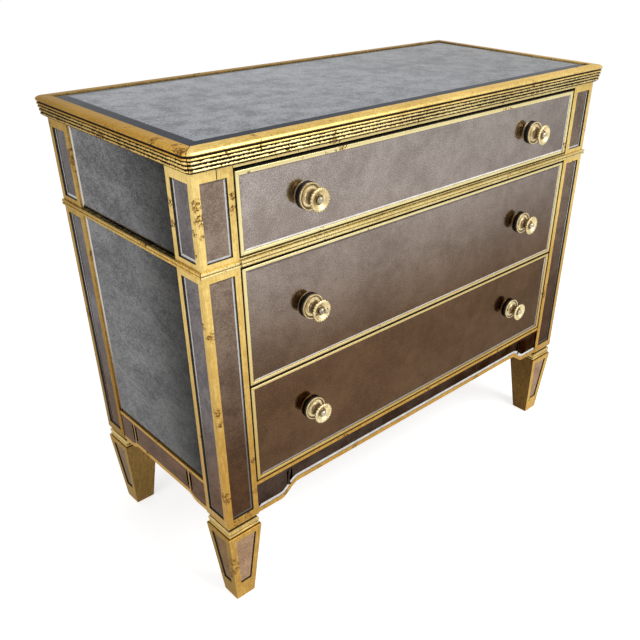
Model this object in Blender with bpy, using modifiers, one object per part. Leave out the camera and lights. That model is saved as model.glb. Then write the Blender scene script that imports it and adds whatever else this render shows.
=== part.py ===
"""Chest of three drawers: gilded wooden frame, mirrored panels and four tapered feet.

Metres, +Z up, the drawers face -Y, the origin is on the floor under the middle of the chest.
"""
import math

import bmesh
import bpy

# Main sizes, over the outer faces of the four posts
SPAN_X = 0.939
SPAN_Y = 0.412
HEIGHT = 0.817
FIT_GAP = 0.0003

# Posts
POST_SIZE = 0.064
OUTER_STRIP = 0.011
INNER_STRIP = 0.0105
HEAD_STRIP = 0.0155
FOOT_STRIP = 0.0165
OVER_BAND_STRIP = 0.008
UNDER_BAND_STRIP = 0.010
EDGE_ROUND = 0.0008

# Mirror plates let into posts and sides
GLASS = 0.003
REVEAL = 0.003
PLATE_BEVEL = 0.004
PLATE_BEVEL_DEPTH = 0.0012

# Feet: tapered leg, square ring, bead and coved neck
LEG_HEIGHT = 0.160
LEG_OUT = 0.0018
LEG_OUTER_TAPER = 0.012
LEG_INNER_TAPER = 0.0195
LEG_EDGE = 0.0025
LEG_RECESS = 0.003
LEG_INSERT_LIFT = 0.0395
LEG_INSERT_DROP = 0.0115
LEG_INNER_STRIP = 0.0105
LEG_OUTER_STRIP = 0.0125
RING_HEIGHT = 0.0052
RING_INSET = 0.0008
BEAD_HEIGHT = 0.0108
BEAD_INSET = 0.0008
NECK_HEIGHT = 0.0060
NECK_INSET = 0.0055
NECK_SHARES = ((0, 1.0), (0.2, 1.0), (0.55, 0.75), (0.85, 0.4), (1.0, 0.15))

# Moulding round the top, measured out from the posts
MOULDING_HEIGHT = 0.031
LIP = 0.0085
NOSING_FLAT = 0.003
NOSING_OUT = 0.013
NOSING_HEIGHT = 0.0085
TOP_BEAD = 0.003
TOP_REED_COUNT = 3
REED_GROOVE = 0.0045
FILLET = 0.0015
MOULDING_RECEDE = 0.003

# Top plate
TOP_GLASS = 0.005
TOP_GLASS_DROP = 0.001
TOP_BEVEL = 0.020
TOP_BEVEL_DEPTH = 0.0016

# Reeded band under the upper stage and the rail that carries it on between the drawers
UPPER_STAGE = 0.135
BAND_HEIGHT = 0.010
BAND_REED_COUNT = 2
BAND_OUT = 0.0038
BAND_GROOVE = 0.0024
RAIL_FILLET = 0.0008
RAIL_DEPTH = 0.040

# Panels and boards
PANEL_THICKNESS = 0.012
BACK_THICKNESS = 0.006
BACK_INSET = 0.008
BACK_LIFT = 0.023
FLOOR_THICKNESS = 0.015

# Aprons
APRON_THICKNESS = 0.015
APRON_SETBACK = 0.001
APRON_FIELD = 0.003
APRON_HEIGHT = 0.0665
APRON_RAIL = 0.0063
APRON_END_LIFT = 0.002
APRON_EDGING = 0.009
FRONT_STEP_RISE = 0.0215
FRONT_STEP_IN = 0.0495
FRONT_STEP_LENGTH = 0.038
SIDE_STEP_RISE = 0.008
SIDE_STEP_IN = 0.032
SIDE_STEP_LENGTH = 0.024
MUNTIN_IN = 0.049
MUNTIN_WIDTH = 0.0028

# Drawer fronts
MIDDLE_FRONT_SHARE = 0.517
APRON_GAP = 0.0028
DRAWER_GAP = 0.004
TOP_GAP = 0.010
SIDE_GAP = 0.003
FRONT_THICKNESS = 0.020
FRONT_SETBACK = 0.0005
FRAME_STILE = 0.007
FRAME_RAIL = 0.005
FRAME_REVEAL = 0.0012
DRAWER_BEVEL = 0.005

# Drawer boxes and their runners
BOX_SIDE_GAP = 0.008
BOX_REAR_GAP = 0.012
BOX_WALL = 0.012
BOX_FLOOR = 0.007
BOX_LIFT = 0.002
BOX_DROP = 0.036
RUNNER_HEIGHT = 0.016
RUNNER_LAP = 0.0175
RUNNER_SEAT = 0.0345

# Knobs
KNOB_INSET = 0.1245
KNOB_SEGMENTS = 24
WASHER_RADIUS = 0.0215
WASHER_THICKNESS = 0.004
FLANGE_RADIUS = 0.022
FLANGE_HEIGHT = 0.0034
FLANGE_SHARES = ((1.0, 0.12), (1.0, 0.65), (0.945, 1.0), (0.865, 0.88), (0.68, 0.65), (0.54, 1.0))
NECK_RADIUS = 0.009
BUTTON_RADIUS = 0.0187
BUTTON_BACK = 0.0140
BUTTON_FRONT = 0.0284
BUTTON_SHARES = ((0.59, 0.32), (0.80, 0.53), (0.96, 0.65), (1.0, 0.77), (0.98, 0.92), (0.90, 1.0))
DISH_DEPTH = 0.0024
DISH_SHARES = ((0.80, 0.33), (0.59, 0.92), (0.43, 1.0))
PEARL_RADIUS = 0.007
PEARL_RISE = 0.005
PEARL_ANGLES = (20, 50, 75)
STUD_RADIUS = 0.003
STUD_LENGTH = 0.012
BORE_SEGMENTS = 12

# Turning steps of the rounded profiles, in degrees
NOSING_ANGLES = (22.5, 45, 67.5, 90, 115, 140)
BEAD_ANGLES = (25, 60, 90, 120, 155)
CORNER_ANGLES = (45, 22.5, 0)
SHARP_ANGLE = 40

# Places that follow from the sizes
HALF_X = SPAN_X / 2
HALF_Y = SPAN_Y / 2
OPENING_X = HALF_X - POST_SIZE
OPENING_Y = HALF_Y - POST_SIZE
RECESS = REVEAL + GLASS + FIT_GAP
POST_BOTTOM = LEG_HEIGHT + RING_HEIGHT + BEAD_HEIGHT + NECK_HEIGHT
POST_TOP = HEIGHT - MOULDING_HEIGHT
BAND_TOP = POST_TOP - UPPER_STAGE
BAND_BOTTOM = BAND_TOP - BAND_HEIGHT
RAIL_TOP = BAND_TOP + RAIL_FILLET
RAIL_BOTTOM = BAND_BOTTOM - RAIL_FILLET
APRON_END_BOTTOM = POST_BOTTOM + APRON_END_LIFT
APRON_TOP = APRON_END_BOTTOM + APRON_HEIGHT
BOTTOM_BOTTOM = APRON_TOP + APRON_GAP
MIDDLE_TOP = RAIL_BOTTOM - DRAWER_GAP
MIDDLE_BOTTOM = MIDDLE_TOP - (MIDDLE_TOP - BOTTOM_BOTTOM - DRAWER_GAP) * MIDDLE_FRONT_SHARE
FRONT_HEIGHTS = {
    "top": (RAIL_TOP + DRAWER_GAP, POST_TOP - TOP_GAP),
    "middle": (MIDDLE_BOTTOM, MIDDLE_TOP),
    "bottom": (BOTTOM_BOTTOM, MIDDLE_BOTTOM - DRAWER_GAP),
}
FRONT_HALF = OPENING_X - SIDE_GAP
KNOB_X = FRONT_HALF - KNOB_INSET
BOX_HALF = OPENING_X - BOX_SIDE_GAP
BACK_INNER = HALF_Y - BACK_INSET - BACK_THICKNESS
KNOB_REACH = BUTTON_FRONT - DISH_DEPTH + PEARL_RISE
FRONT_FACE = -HALF_Y + FRONT_SETBACK
KNOB_SEAT = FRAME_REVEAL - FIT_GAP

# The origin lies midway between the knobs' fronts and the rear of the moulding
CENTRE_Y = (KNOB_REACH - FRONT_SETBACK - KNOB_SEAT - NOSING_OUT) / 2

# Colour, roughness and metallic value
FINISHES = {
    "gold_frame": ((0.62, 0.42, 0.13, 1.0), 0.42, 0.75),
    "antique_mirror": ((0.36, 0.36, 0.37, 1.0), 0.12, 1.0),
    "case_wood": ((0.20, 0.11, 0.06, 1.0), 0.65, 0.0),
    "drawer_wood": ((0.50, 0.36, 0.22, 1.0), 0.60, 0.0),
    "knob_brass": ((0.75, 0.62, 0.36, 1.0), 0.28, 1.0),
}

# Turns that lay an outline square to each axis
TURNS = {
    0: (math.pi / 2, 0, math.pi / 2),
    1: (math.pi / 2, 0, 0),
    2: (0, 0, 0),
}


def clear_scene():
    for item in list(bpy.data.objects):
        bpy.data.objects.remove(item, do_unlink=True)


def collection(name):
    made = bpy.data.collections.new(name)
    bpy.context.scene.collection.children.link(made)
    return made


def material(slot):
    made = bpy.data.materials.get(slot)
    if made is None:
        colour, roughness, metallic = FINISHES[slot]
        made = bpy.data.materials.new(slot)
        made.use_nodes = True
        shader = made.node_tree.nodes["Principled BSDF"]
        shader.inputs["Base Color"].default_value = colour
        shader.inputs["Roughness"].default_value = roughness
        shader.inputs["Metallic"].default_value = metallic
    return made


def add_object(name, mesh, slot, location=(0, 0, 0), turn=(0, 0, 0), parent=None):
    """A part has a material slot; a cutter has none and stays out of sight."""
    made = bpy.data.objects.new(name, mesh)
    made.location = location
    made.rotation_euler = turn
    made.parent = parent or CHEST
    if slot:
        mesh.materials.append(material(slot))
        PARTS.objects.link(made)
    else:
        made.hide_render = True
        made.display_type = "WIRE"
        CUTTERS.objects.link(made)
    return made


def finish_mesh(name, bm):
    bmesh.ops.recalc_face_normals(bm, faces=bm.faces)
    mesh = bpy.data.meshes.new(name)
    bm.to_mesh(mesh)
    bm.free()
    return mesh


def box(name, low, high, slot=None, parent=None):
    """Block between two opposite corners."""
    centre = [(a + b) / 2 for a, b in zip(low, high)]
    bm = bmesh.new()
    bmesh.ops.create_cube(bm, size=1)
    bmesh.ops.scale(bm, vec=[abs(b - a) for a, b in zip(low, high)], verts=bm.verts)
    return add_object(name, finish_mesh(name, bm), slot, centre, parent=parent)


def cut(target, cutter, how="DIFFERENCE"):
    step = target.modifiers.new(cutter.name, "BOOLEAN")
    step.operation = how
    step.solver = "EXACT"
    step.object = cutter


def round_edges(target, width):
    step = target.modifiers.new("rounded_edges", "BEVEL")
    step.width = width
    step.segments = 2
    step.limit_method = "ANGLE"


def outline_solid(name, outline, axis, low, high, slot=None):
    """Outline in the two other axes (in x, y, z order), drawn flat and thickened."""
    curve = bpy.data.curves.new(name, "CURVE")
    curve.dimensions = "2D"
    curve.fill_mode = "BOTH"
    curve.extrude = (high - low) / 2
    spline = curve.splines.new("POLY")
    spline.points.add(len(outline) - 1)
    for point, (across, up) in zip(spline.points, outline):
        point.co[:2] = (across, up)
    spline.use_cyclic_u = True
    drawn = bpy.data.objects.new(name + "_outline", curve)
    CUTTERS.objects.link(drawn)
    bpy.context.view_layer.update()
    graph = bpy.context.evaluated_depsgraph_get()
    mesh = bpy.data.meshes.new_from_object(drawn.evaluated_get(graph))
    bpy.data.objects.remove(drawn, do_unlink=True)
    bm = bmesh.new()
    bm.from_mesh(mesh)
    bmesh.ops.remove_doubles(bm, verts=bm.verts, dist=FIT_GAP / 100)
    bmesh.ops.recalc_face_normals(bm, faces=bm.faces)
    bm.to_mesh(mesh)
    bm.free()
    mesh.materials.clear()
    middle = [0, 0, 0]
    middle[axis] = (low + high) / 2
    return add_object(name, mesh, slot, middle, TURNS[axis])


def turned(name, profile, segments, slot, location, turn, parent):
    """Profile of (radius, height) from the top down, revolved about its own axis."""
    bm = bmesh.new()
    points = [bm.verts.new((radius, 0, height)) for radius, height in profile]
    for first, second in zip(points, points[1:]):
        bm.edges.new((first, second))
    mesh = bpy.data.meshes.new(name)
    bm.to_mesh(mesh)
    bm.free()
    made = add_object(name, mesh, slot, location, turn, parent)
    step = made.modifiers.new("turned", "SCREW")
    step.angle = 2 * math.pi
    step.steps = segments
    step.render_steps = segments
    step.use_merge_vertices = True
    step.merge_threshold = FIT_GAP / 100
    step.use_smooth_shade = True
    return made


def loft(name, sections, slot=None, parent=None):
    """Closed body through rings of the same number of points."""
    bm = bmesh.new()
    rings = [[bm.verts.new(point) for point in ring] for ring in sections]
    count = len(rings[0])
    bm.faces.new(rings[0])
    bm.faces.new(rings[-1])
    for lower, upper in zip(rings, rings[1:]):
        for index in range(count):
            after = (index + 1) % count
            bm.faces.new((lower[index], lower[after], upper[after], upper[index]))
    mesh = finish_mesh(name, bm)
    mesh.shade_smooth()
    mesh.set_sharp_from_angle(angle=math.radians(SHARP_ANGLE))
    return add_object(name, mesh, slot, parent=parent)


def plate(name, low, high, axis, side, bevel, depth, parent=None):
    """Glass plate whose shown face looks along the signed axis and has a bevelled rim."""
    low = list(low)
    high = list(high)
    shown_corner = high if side > 0 else low
    shown_corner[axis] -= side * depth
    made = box(name, low, high, "antique_mirror", parent)
    bm = bmesh.new()
    bm.from_mesh(made.data)
    bm.normal_update()
    shown = [item for item in bm.faces if item.normal[axis] * side > 0.5]
    rim = bmesh.ops.inset_region(bm, faces=shown, thickness=bevel, use_even_offset=True)
    rim_faces = set(rim["faces"])
    middle = [item for item in bm.faces if item.normal[axis] * side > 0.5 and item not in rim_faces]
    way = [0, 0, 0]
    way[axis] = side * depth
    bmesh.ops.translate(bm, vec=way, verts=middle[0].verts)
    bm.to_mesh(made.data)
    bm.free()
    return made


def reeds(bottom, top, out, groove, count, recede=0.0, steps=4):
    """Rounded beads side by side, from the top down, as (outward, height) points."""
    points = []
    pitch = (top - bottom) / count
    for number in range(count):
        upper = top - number * pitch
        reach = out - recede * number / count
        for step in range(steps + 1):
            angle = math.pi * step / steps
            bulge = math.sin(angle)
            height = upper - pitch * (1 - math.cos(angle)) / 2
            if step == steps and number < count - 1:
                continue
            points.append((reach - groove * (1 - bulge), height))
    return points


def smooth_step(share):
    return share * share * (3 - 2 * share)


def apron_outline(end, step_outer, step_inner, end_bottom, mid_bottom, top, steps=8):
    """Lower edge that rises in a soft S from each end to the long middle, and a straight top."""
    half = [(end, end_bottom)]
    for step in range(steps + 1):
        share = step / steps
        across = step_outer + (step_inner - step_outer) * share
        half.append((across, end_bottom + (mid_bottom - end_bottom) * smooth_step(share)))
    lower = half + [(-across, height) for across, height in reversed(half)]
    return lower + [(-end, top), (end, top)]


def clip_outline(outline, low, high):
    """Part of a closed outline between two upright lines."""
    for bound, sign in ((low, 1), (high, -1)):
        kept = []
        for first, second in zip(outline, outline[1:] + outline[:1]):
            inside_first = (first[0] - bound) * sign >= 0
            inside_second = (second[0] - bound) * sign >= 0
            if inside_first:
                kept.append(first)
            if inside_first != inside_second:
                share = (bound - first[0]) / (second[0] - first[0])
                kept.append((bound, first[1] + share * (second[1] - first[1])))
        outline = kept
    return outline


def side_name(side):
    return "left" if side < 0 else "right"


def end_name(end):
    return "front" if end < 0 else "rear"


def span(side, near, far):
    """Two signed distances put in rising order."""
    return sorted((side * near, side * far))


def post_heights():
    """Lower and upper mirror plate of a post, from bottom to top."""
    return (("lower", POST_BOTTOM + FOOT_STRIP, BAND_BOTTOM - UNDER_BAND_STRIP),
            ("upper", BAND_TOP + OVER_BAND_STRIP, POST_TOP - HEAD_STRIP))


def make_post(side, end):
    name = "post_%s_%s" % (end_name(end), side_name(side))
    x_range = span(side, OPENING_X, HALF_X)
    y_range = span(end, OPENING_Y, HALF_Y)
    post = box(name, (x_range[0], y_range[0], POST_BOTTOM), (x_range[1], y_range[1], POST_TOP),
               "gold_frame")
    round_edges(post, EDGE_ROUND)
    for label, bottom, top in post_heights():
        y_in = span(end, OPENING_Y + INNER_STRIP, HALF_Y - OUTER_STRIP)
        low = (side * (HALF_X - RECESS), y_in[0], bottom)
        high = (side * (HALF_X + RECESS), y_in[1], top)
        cut(post, box("%s_side_%s_cut" % (name, label), low, high))
        x_glass = span(side, HALF_X - REVEAL - GLASS, HALF_X - REVEAL)
        plate("mirror_%s_side_%s" % (name, label),
              (x_glass[0], y_in[0] + FIT_GAP, bottom + FIT_GAP),
              (x_glass[1], y_in[1] - FIT_GAP, top - FIT_GAP),
              0, side, PLATE_BEVEL, PLATE_BEVEL_DEPTH)
        if end > 0:
            continue
        x_in = span(side, OPENING_X + INNER_STRIP, HALF_X - OUTER_STRIP)
        low = (x_in[0], -HALF_Y - RECESS, bottom)
        high = (x_in[1], -HALF_Y + RECESS, top)
        cut(post, box("%s_front_%s_cut" % (name, label), low, high))
        plate("mirror_%s_face_%s" % (name, label),
              (x_in[0] + FIT_GAP, -HALF_Y + REVEAL, bottom + FIT_GAP),
              (x_in[1] - FIT_GAP, -HALF_Y + REVEAL + GLASS, top - FIT_GAP),
              1, -1, PLATE_BEVEL, PLATE_BEVEL_DEPTH)


def half_round(bottom, height, groove, reach):
    """Levels of a rounded moulding between two grooves."""
    levels = []
    for angle in BEAD_ANGLES:
        turn = math.radians(angle)
        rise = bottom + height * (1 - math.cos(turn)) / 2
        out = groove + (reach - groove) * math.sin(turn)
        levels.append((rise, out, out))
    return levels


def foot_levels():
    """Heights of the foot with the offset from the post's outer faces and from its inner ones."""
    levels = [
        (0, leg_offset(0, LEG_OUTER_TAPER) - LEG_EDGE, leg_offset(0, LEG_INNER_TAPER) - LEG_EDGE),
        (LEG_EDGE, leg_offset(LEG_EDGE, LEG_OUTER_TAPER), leg_offset(LEG_EDGE, LEG_INNER_TAPER)),
        (LEG_HEIGHT - FIT_GAP, LEG_OUT, LEG_OUT),
        (LEG_HEIGHT, LEG_OUT - FIT_GAP, LEG_OUT - FIT_GAP),
    ]
    groove = -(BEAD_INSET + NECK_INSET) / 2
    levels.append((LEG_HEIGHT, groove, groove))
    levels += half_round(LEG_HEIGHT, RING_HEIGHT, groove, -RING_INSET)
    bead_bottom = LEG_HEIGHT + RING_HEIGHT
    levels.append((bead_bottom, groove, groove))
    levels += half_round(bead_bottom, BEAD_HEIGHT, groove, -BEAD_INSET)
    neck_bottom = bead_bottom + BEAD_HEIGHT
    for share, inset in NECK_SHARES:
        height = neck_bottom + (NECK_HEIGHT - FIT_GAP) * share
        levels.append((height, -NECK_INSET * inset, -NECK_INSET * inset))
    return levels


def leg_offset(height, taper):
    """Offset of the leg's face from the post's, from its head down to the end of its taper."""
    return LEG_OUT - (taper - LEG_EDGE + LEG_OUT) * (1 - height / LEG_HEIGHT)


def make_foot(side, end):
    name = "foot_%s_%s" % (end_name(end), side_name(side))
    rings = []
    for height, outer, inner in foot_levels():
        x_out, x_in = side * (HALF_X + outer), side * (OPENING_X - inner)
        y_out, y_in = end * (HALF_Y + outer), end * (OPENING_Y - inner)
        rings.append([(x_out, y_out, height), (x_in, y_out, height),
                      (x_in, y_in, height), (x_out, y_in, height)])
    foot = loft(name, rings, "gold_frame")
    faces = ["side"] if end > 0 else ["side", "front"]
    for face in faces:
        cutter_rings = []
        for height in (LEG_INSERT_LIFT, LEG_HEIGHT - LEG_INSERT_DROP):
            out = leg_offset(height, LEG_OUTER_TAPER)
            across_out = out - LEG_OUTER_STRIP
            across_in = leg_offset(height, LEG_INNER_TAPER) - LEG_INNER_STRIP
            if face == "side":
                ends = (end * (HALF_Y + across_out), end * (OPENING_Y - across_in))
                near = side * (HALF_X + LEG_OUT + LEG_RECESS)
                far = side * (HALF_X + out - LEG_RECESS)
                ring = [(near, ends[0], height), (near, ends[1], height),
                        (far, ends[1], height), (far, ends[0], height)]
            else:
                ends = (side * (HALF_X + across_out), side * (OPENING_X - across_in))
                near = end * (HALF_Y + LEG_OUT + LEG_RECESS)
                far = end * (HALF_Y + out - LEG_RECESS)
                ring = [(ends[0], near, height), (ends[1], near, height),
                        (ends[1], far, height), (ends[0], far, height)]
            cutter_rings.append(ring)
        cut(foot, loft("%s_%s_cut" % (name, face), cutter_rings))


def top_profile():
    """Moulding section as (outward, height) points, closed, from the inner lip round the front."""
    bottom = POST_TOP + FIT_GAP
    points = [(-LIP, bottom), (-LIP, HEIGHT), (NOSING_FLAT, HEIGHT)]
    roll = NOSING_OUT - NOSING_FLAT
    last_fall = 1 - math.cos(math.radians(NOSING_ANGLES[-1]))
    for angle in NOSING_ANGLES:
        turn = math.radians(angle)
        fall = (1 - math.cos(turn)) / last_fall
        points.append((NOSING_FLAT + roll * math.sin(turn), HEIGHT - NOSING_HEIGHT * fall))
    bead_top = HEIGHT - NOSING_HEIGHT - FILLET / 2
    bead_bottom = bead_top - TOP_BEAD
    points += reeds(bead_bottom, bead_top, NOSING_OUT - FILLET / 2, FILLET, 1)
    points += reeds(bottom + FILLET, bead_bottom - FILLET / 2, NOSING_OUT - FILLET, REED_GROOVE,
                    TOP_REED_COUNT, MOULDING_RECEDE)
    points.append((points[-1][0], bottom))
    return points


def make_top_moulding(name, axis, facing):
    """One mitred length; the corners are rounded about the outer corner of the post."""
    along_half, out_half = (HALF_X, HALF_Y) if axis == 0 else (HALF_Y, HALF_X)
    straight = along_half - 2 * LIP
    sections = []
    for sign in (-1, 1):
        stops = list(CORNER_ANGLES) + [None]
        if sign > 0:
            stops.reverse()
        for angle in stops:
            ring = []
            for out, height in top_profile():
                if angle is None:
                    along, reach = straight, out
                elif out > 0:
                    turn = math.radians(angle)
                    along = along_half + out * math.sin(turn)
                    reach = out * math.cos(turn)
                else:
                    share = (angle / CORNER_ANGLES[0] + 1) / 2
                    along = straight + (along_half + out - straight) * share
                    reach = out
                if angle == CORNER_ANGLES[0]:
                    along -= FIT_GAP
                along *= sign
                across = facing * (out_half + reach)
                ring.append((along, across, height) if axis == 0 else (across, along, height))
            sections.append(ring)
    return loft(name, sections, "gold_frame")


def make_top():
    reach_x, reach_y = HALF_X - LIP - FIT_GAP, HALF_Y - LIP - FIT_GAP
    glass_top = HEIGHT - TOP_GLASS_DROP
    glass_bottom = glass_top - TOP_GLASS
    box("top_board", (-reach_x, -reach_y, POST_TOP + FIT_GAP),
        (reach_x, reach_y, glass_bottom - FIT_GAP), "case_wood")
    plate("top_mirror", (-reach_x, -reach_y, glass_bottom), (reach_x, reach_y, glass_top),
          2, 1, TOP_BEVEL, TOP_BEVEL_DEPTH)
    make_top_moulding("top_moulding_front", 0, -1)
    make_top_moulding("top_moulding_rear", 0, 1)
    make_top_moulding("top_moulding_left", 1, -1)
    make_top_moulding("top_moulding_right", 1, 1)


def band_profile():
    """Double reed with a flat back, as (outward, height) points."""
    points = [(FIT_GAP, BAND_BOTTOM), (FIT_GAP, BAND_TOP)]
    points += reeds(BAND_BOTTOM, BAND_TOP, BAND_OUT, BAND_GROOVE, BAND_REED_COUNT)
    return points


def make_band(side):
    """Reeded strip along the side, mitred round the front post to the drawer opening."""
    rings = []
    for stage in ("rear", "corner", "end"):
        ring = []
        for out, height in band_profile():
            if stage == "rear":
                ring.append((side * (HALF_X + out), HALF_Y, height))
            elif stage == "corner":
                ring.append((side * (HALF_X + out), -HALF_Y - out, height))
            else:
                ring.append((side * (OPENING_X + FIT_GAP), -HALF_Y - out, height))
        rings.append(ring)
    name = "band_%s" % side_name(side)
    band = loft(name, rings, "gold_frame")
    back = span(side, HALF_X - RECESS + FIT_GAP, HALF_X + FIT_GAP * 2)
    tongue = box(name + "_tongue", (back[0], -OPENING_Y + FIT_GAP, BAND_BOTTOM + FIT_GAP),
                 (back[1], OPENING_Y - FIT_GAP, BAND_TOP - FIT_GAP))
    cut(band, tongue, "UNION")


def make_side(side):
    word = side_name(side)
    reach = OPENING_Y - FIT_GAP
    panel = span(side, HALF_X - RECESS - PANEL_THICKNESS, HALF_X - RECESS)
    box("side_panel_%s" % word, (panel[0], -reach, APRON_TOP + FIT_GAP),
        (panel[1], reach, POST_TOP), "case_wood")
    glass = span(side, HALF_X - REVEAL - GLASS, HALF_X - REVEAL)
    sections = (("lower", APRON_TOP + FIT_GAP, BAND_BOTTOM - FIT_GAP),
                ("upper", BAND_TOP + FIT_GAP, POST_TOP))
    for label, bottom, top in sections:
        plate("mirror_side_%s_%s" % (word, label), (glass[0], -reach, bottom),
              (glass[1], reach, top), 0, side, PLATE_BEVEL, PLATE_BEVEL_DEPTH)


def make_apron(name, axis, facing):
    """Board with a rail, a shaped lower edging and sunk fields for the mirror pieces."""
    if axis == 0:
        end, face, top = OPENING_X - FIT_GAP, HALF_Y - APRON_SETBACK, APRON_TOP
        step_in, step_length, rise = FRONT_STEP_IN, FRONT_STEP_LENGTH, FRONT_STEP_RISE
        bars = []
    else:
        end, face, top = OPENING_Y - FIT_GAP, HALF_X - APRON_SETBACK, APRON_TOP
        step_in, step_length, rise = SIDE_STEP_IN, SIDE_STEP_LENGTH, SIDE_STEP_RISE
        bars = [MUNTIN_IN - end, end - MUNTIN_IN]
    depth = span(facing, face - APRON_THICKNESS, face)
    other = 1 - axis
    step_outer = end - step_in
    step_inner = step_outer - step_length
    middle = APRON_END_BOTTOM + rise
    outline = apron_outline(end, step_outer, step_inner, APRON_END_BOTTOM, middle, top)
    apron = outline_solid(name, outline, other, depth[0], depth[1], "gold_frame")
    field = apron_outline(end + APRON_FIELD, step_outer, step_inner,
                          APRON_END_BOTTOM + APRON_EDGING, middle + APRON_EDGING, top - APRON_RAIL)
    bounds = [-end - APRON_FIELD] + bars + [end + APRON_FIELD]
    cut_depth = span(facing, face - APRON_FIELD, face + APRON_FIELD)
    for number, (low, high) in enumerate(zip(bounds, bounds[1:])):
        low += MUNTIN_WIDTH / 2 if low in bars else 0
        high -= MUNTIN_WIDTH / 2 if high in bars else 0
        cutter = outline_solid("%s_field_%d_cut" % (name, number), clip_outline(field, low, high),
                               other, cut_depth[0], cut_depth[1])
        cut(apron, cutter)


def make_mid_rail():
    back = RAIL_DEPTH
    points = [(-back, RAIL_BOTTOM), (-back, RAIL_TOP), (0, RAIL_TOP), (0, BAND_TOP)]
    points += reeds(BAND_BOTTOM, BAND_TOP, BAND_OUT, BAND_GROOVE, BAND_REED_COUNT)
    points += [(0, BAND_BOTTOM), (0, RAIL_BOTTOM)]
    outline = [(-HALF_Y - out, height) for out, height in points]
    reach = OPENING_X - FIT_GAP
    outline_solid("mid_rail", outline, 0, -reach, reach, "gold_frame")


def make_case_boards():
    reach = OPENING_X - FIT_GAP
    box("back_panel", (-reach, BACK_INNER, POST_BOTTOM + BACK_LIFT),
        (reach, BACK_INNER + BACK_THICKNESS, POST_TOP), "case_wood")
    wide = HALF_X - RECESS - PANEL_THICKNESS - FIT_GAP
    behind_apron = -HALF_Y + APRON_SETBACK + APRON_THICKNESS + FIT_GAP
    behind_drawer = FRONT_FACE + FRONT_THICKNESS + FIT_GAP
    front = max(behind_apron, behind_drawer)
    rear = BACK_INNER - FIT_GAP
    inner = OPENING_Y - FIT_GAP
    outline = [(-reach, front), (reach, front), (reach, -inner), (wide, -inner), (wide, inner),
               (reach, inner), (reach, rear), (-reach, rear), (-reach, inner), (-wide, inner),
               (-wide, -inner), (-reach, -inner)]
    top = FRONT_HEIGHTS["bottom"][0] + BOX_LIFT - FIT_GAP
    outline_solid("floor_board", outline, 2, top - FLOOR_THICKNESS, top, "case_wood")


def make_runners():
    for label in ("top", "middle"):
        top = FRONT_HEIGHTS[label][0] + BOX_LIFT - FIT_GAP
        reach = OPENING_Y - FIT_GAP
        for side in (-1, 1):
            across = span(side, BOX_HALF - RUNNER_LAP, OPENING_X + RUNNER_SEAT)
            box("runner_%s_%s" % (label, side_name(side)),
                (across[0], -reach, top - RUNNER_HEIGHT), (across[1], reach, top), "case_wood")


def knob_profile():
    """Washer, dished flange, neck and cupped button with a pearl, from the front to the stud."""
    dish = BUTTON_FRONT - DISH_DEPTH
    points = [(0, KNOB_REACH)]
    for angle in PEARL_ANGLES:
        turn = math.radians(angle)
        points.append((PEARL_RADIUS * math.sin(turn), dish + PEARL_RISE * math.cos(turn)))
    for radius, fall in reversed(DISH_SHARES):
        points.append((BUTTON_RADIUS * radius, BUTTON_FRONT - DISH_DEPTH * fall))
    for radius, out in reversed(BUTTON_SHARES):
        points.append((BUTTON_RADIUS * radius, BUTTON_BACK + (BUTTON_FRONT - BUTTON_BACK) * out))
    points.append((NECK_RADIUS, BUTTON_BACK))
    flange_top = WASHER_THICKNESS + FLANGE_HEIGHT
    points.append((NECK_RADIUS, (BUTTON_BACK + flange_top) / 2))
    for radius, out in reversed(FLANGE_SHARES):
        points.append((FLANGE_RADIUS * radius, WASHER_THICKNESS + FLANGE_HEIGHT * out))
    points += [(WASHER_RADIUS, WASHER_THICKNESS), (WASHER_RADIUS, 0), (STUD_RADIUS, 0),
               (STUD_RADIUS, -STUD_LENGTH), (0, -STUD_LENGTH)]
    return points


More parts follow.
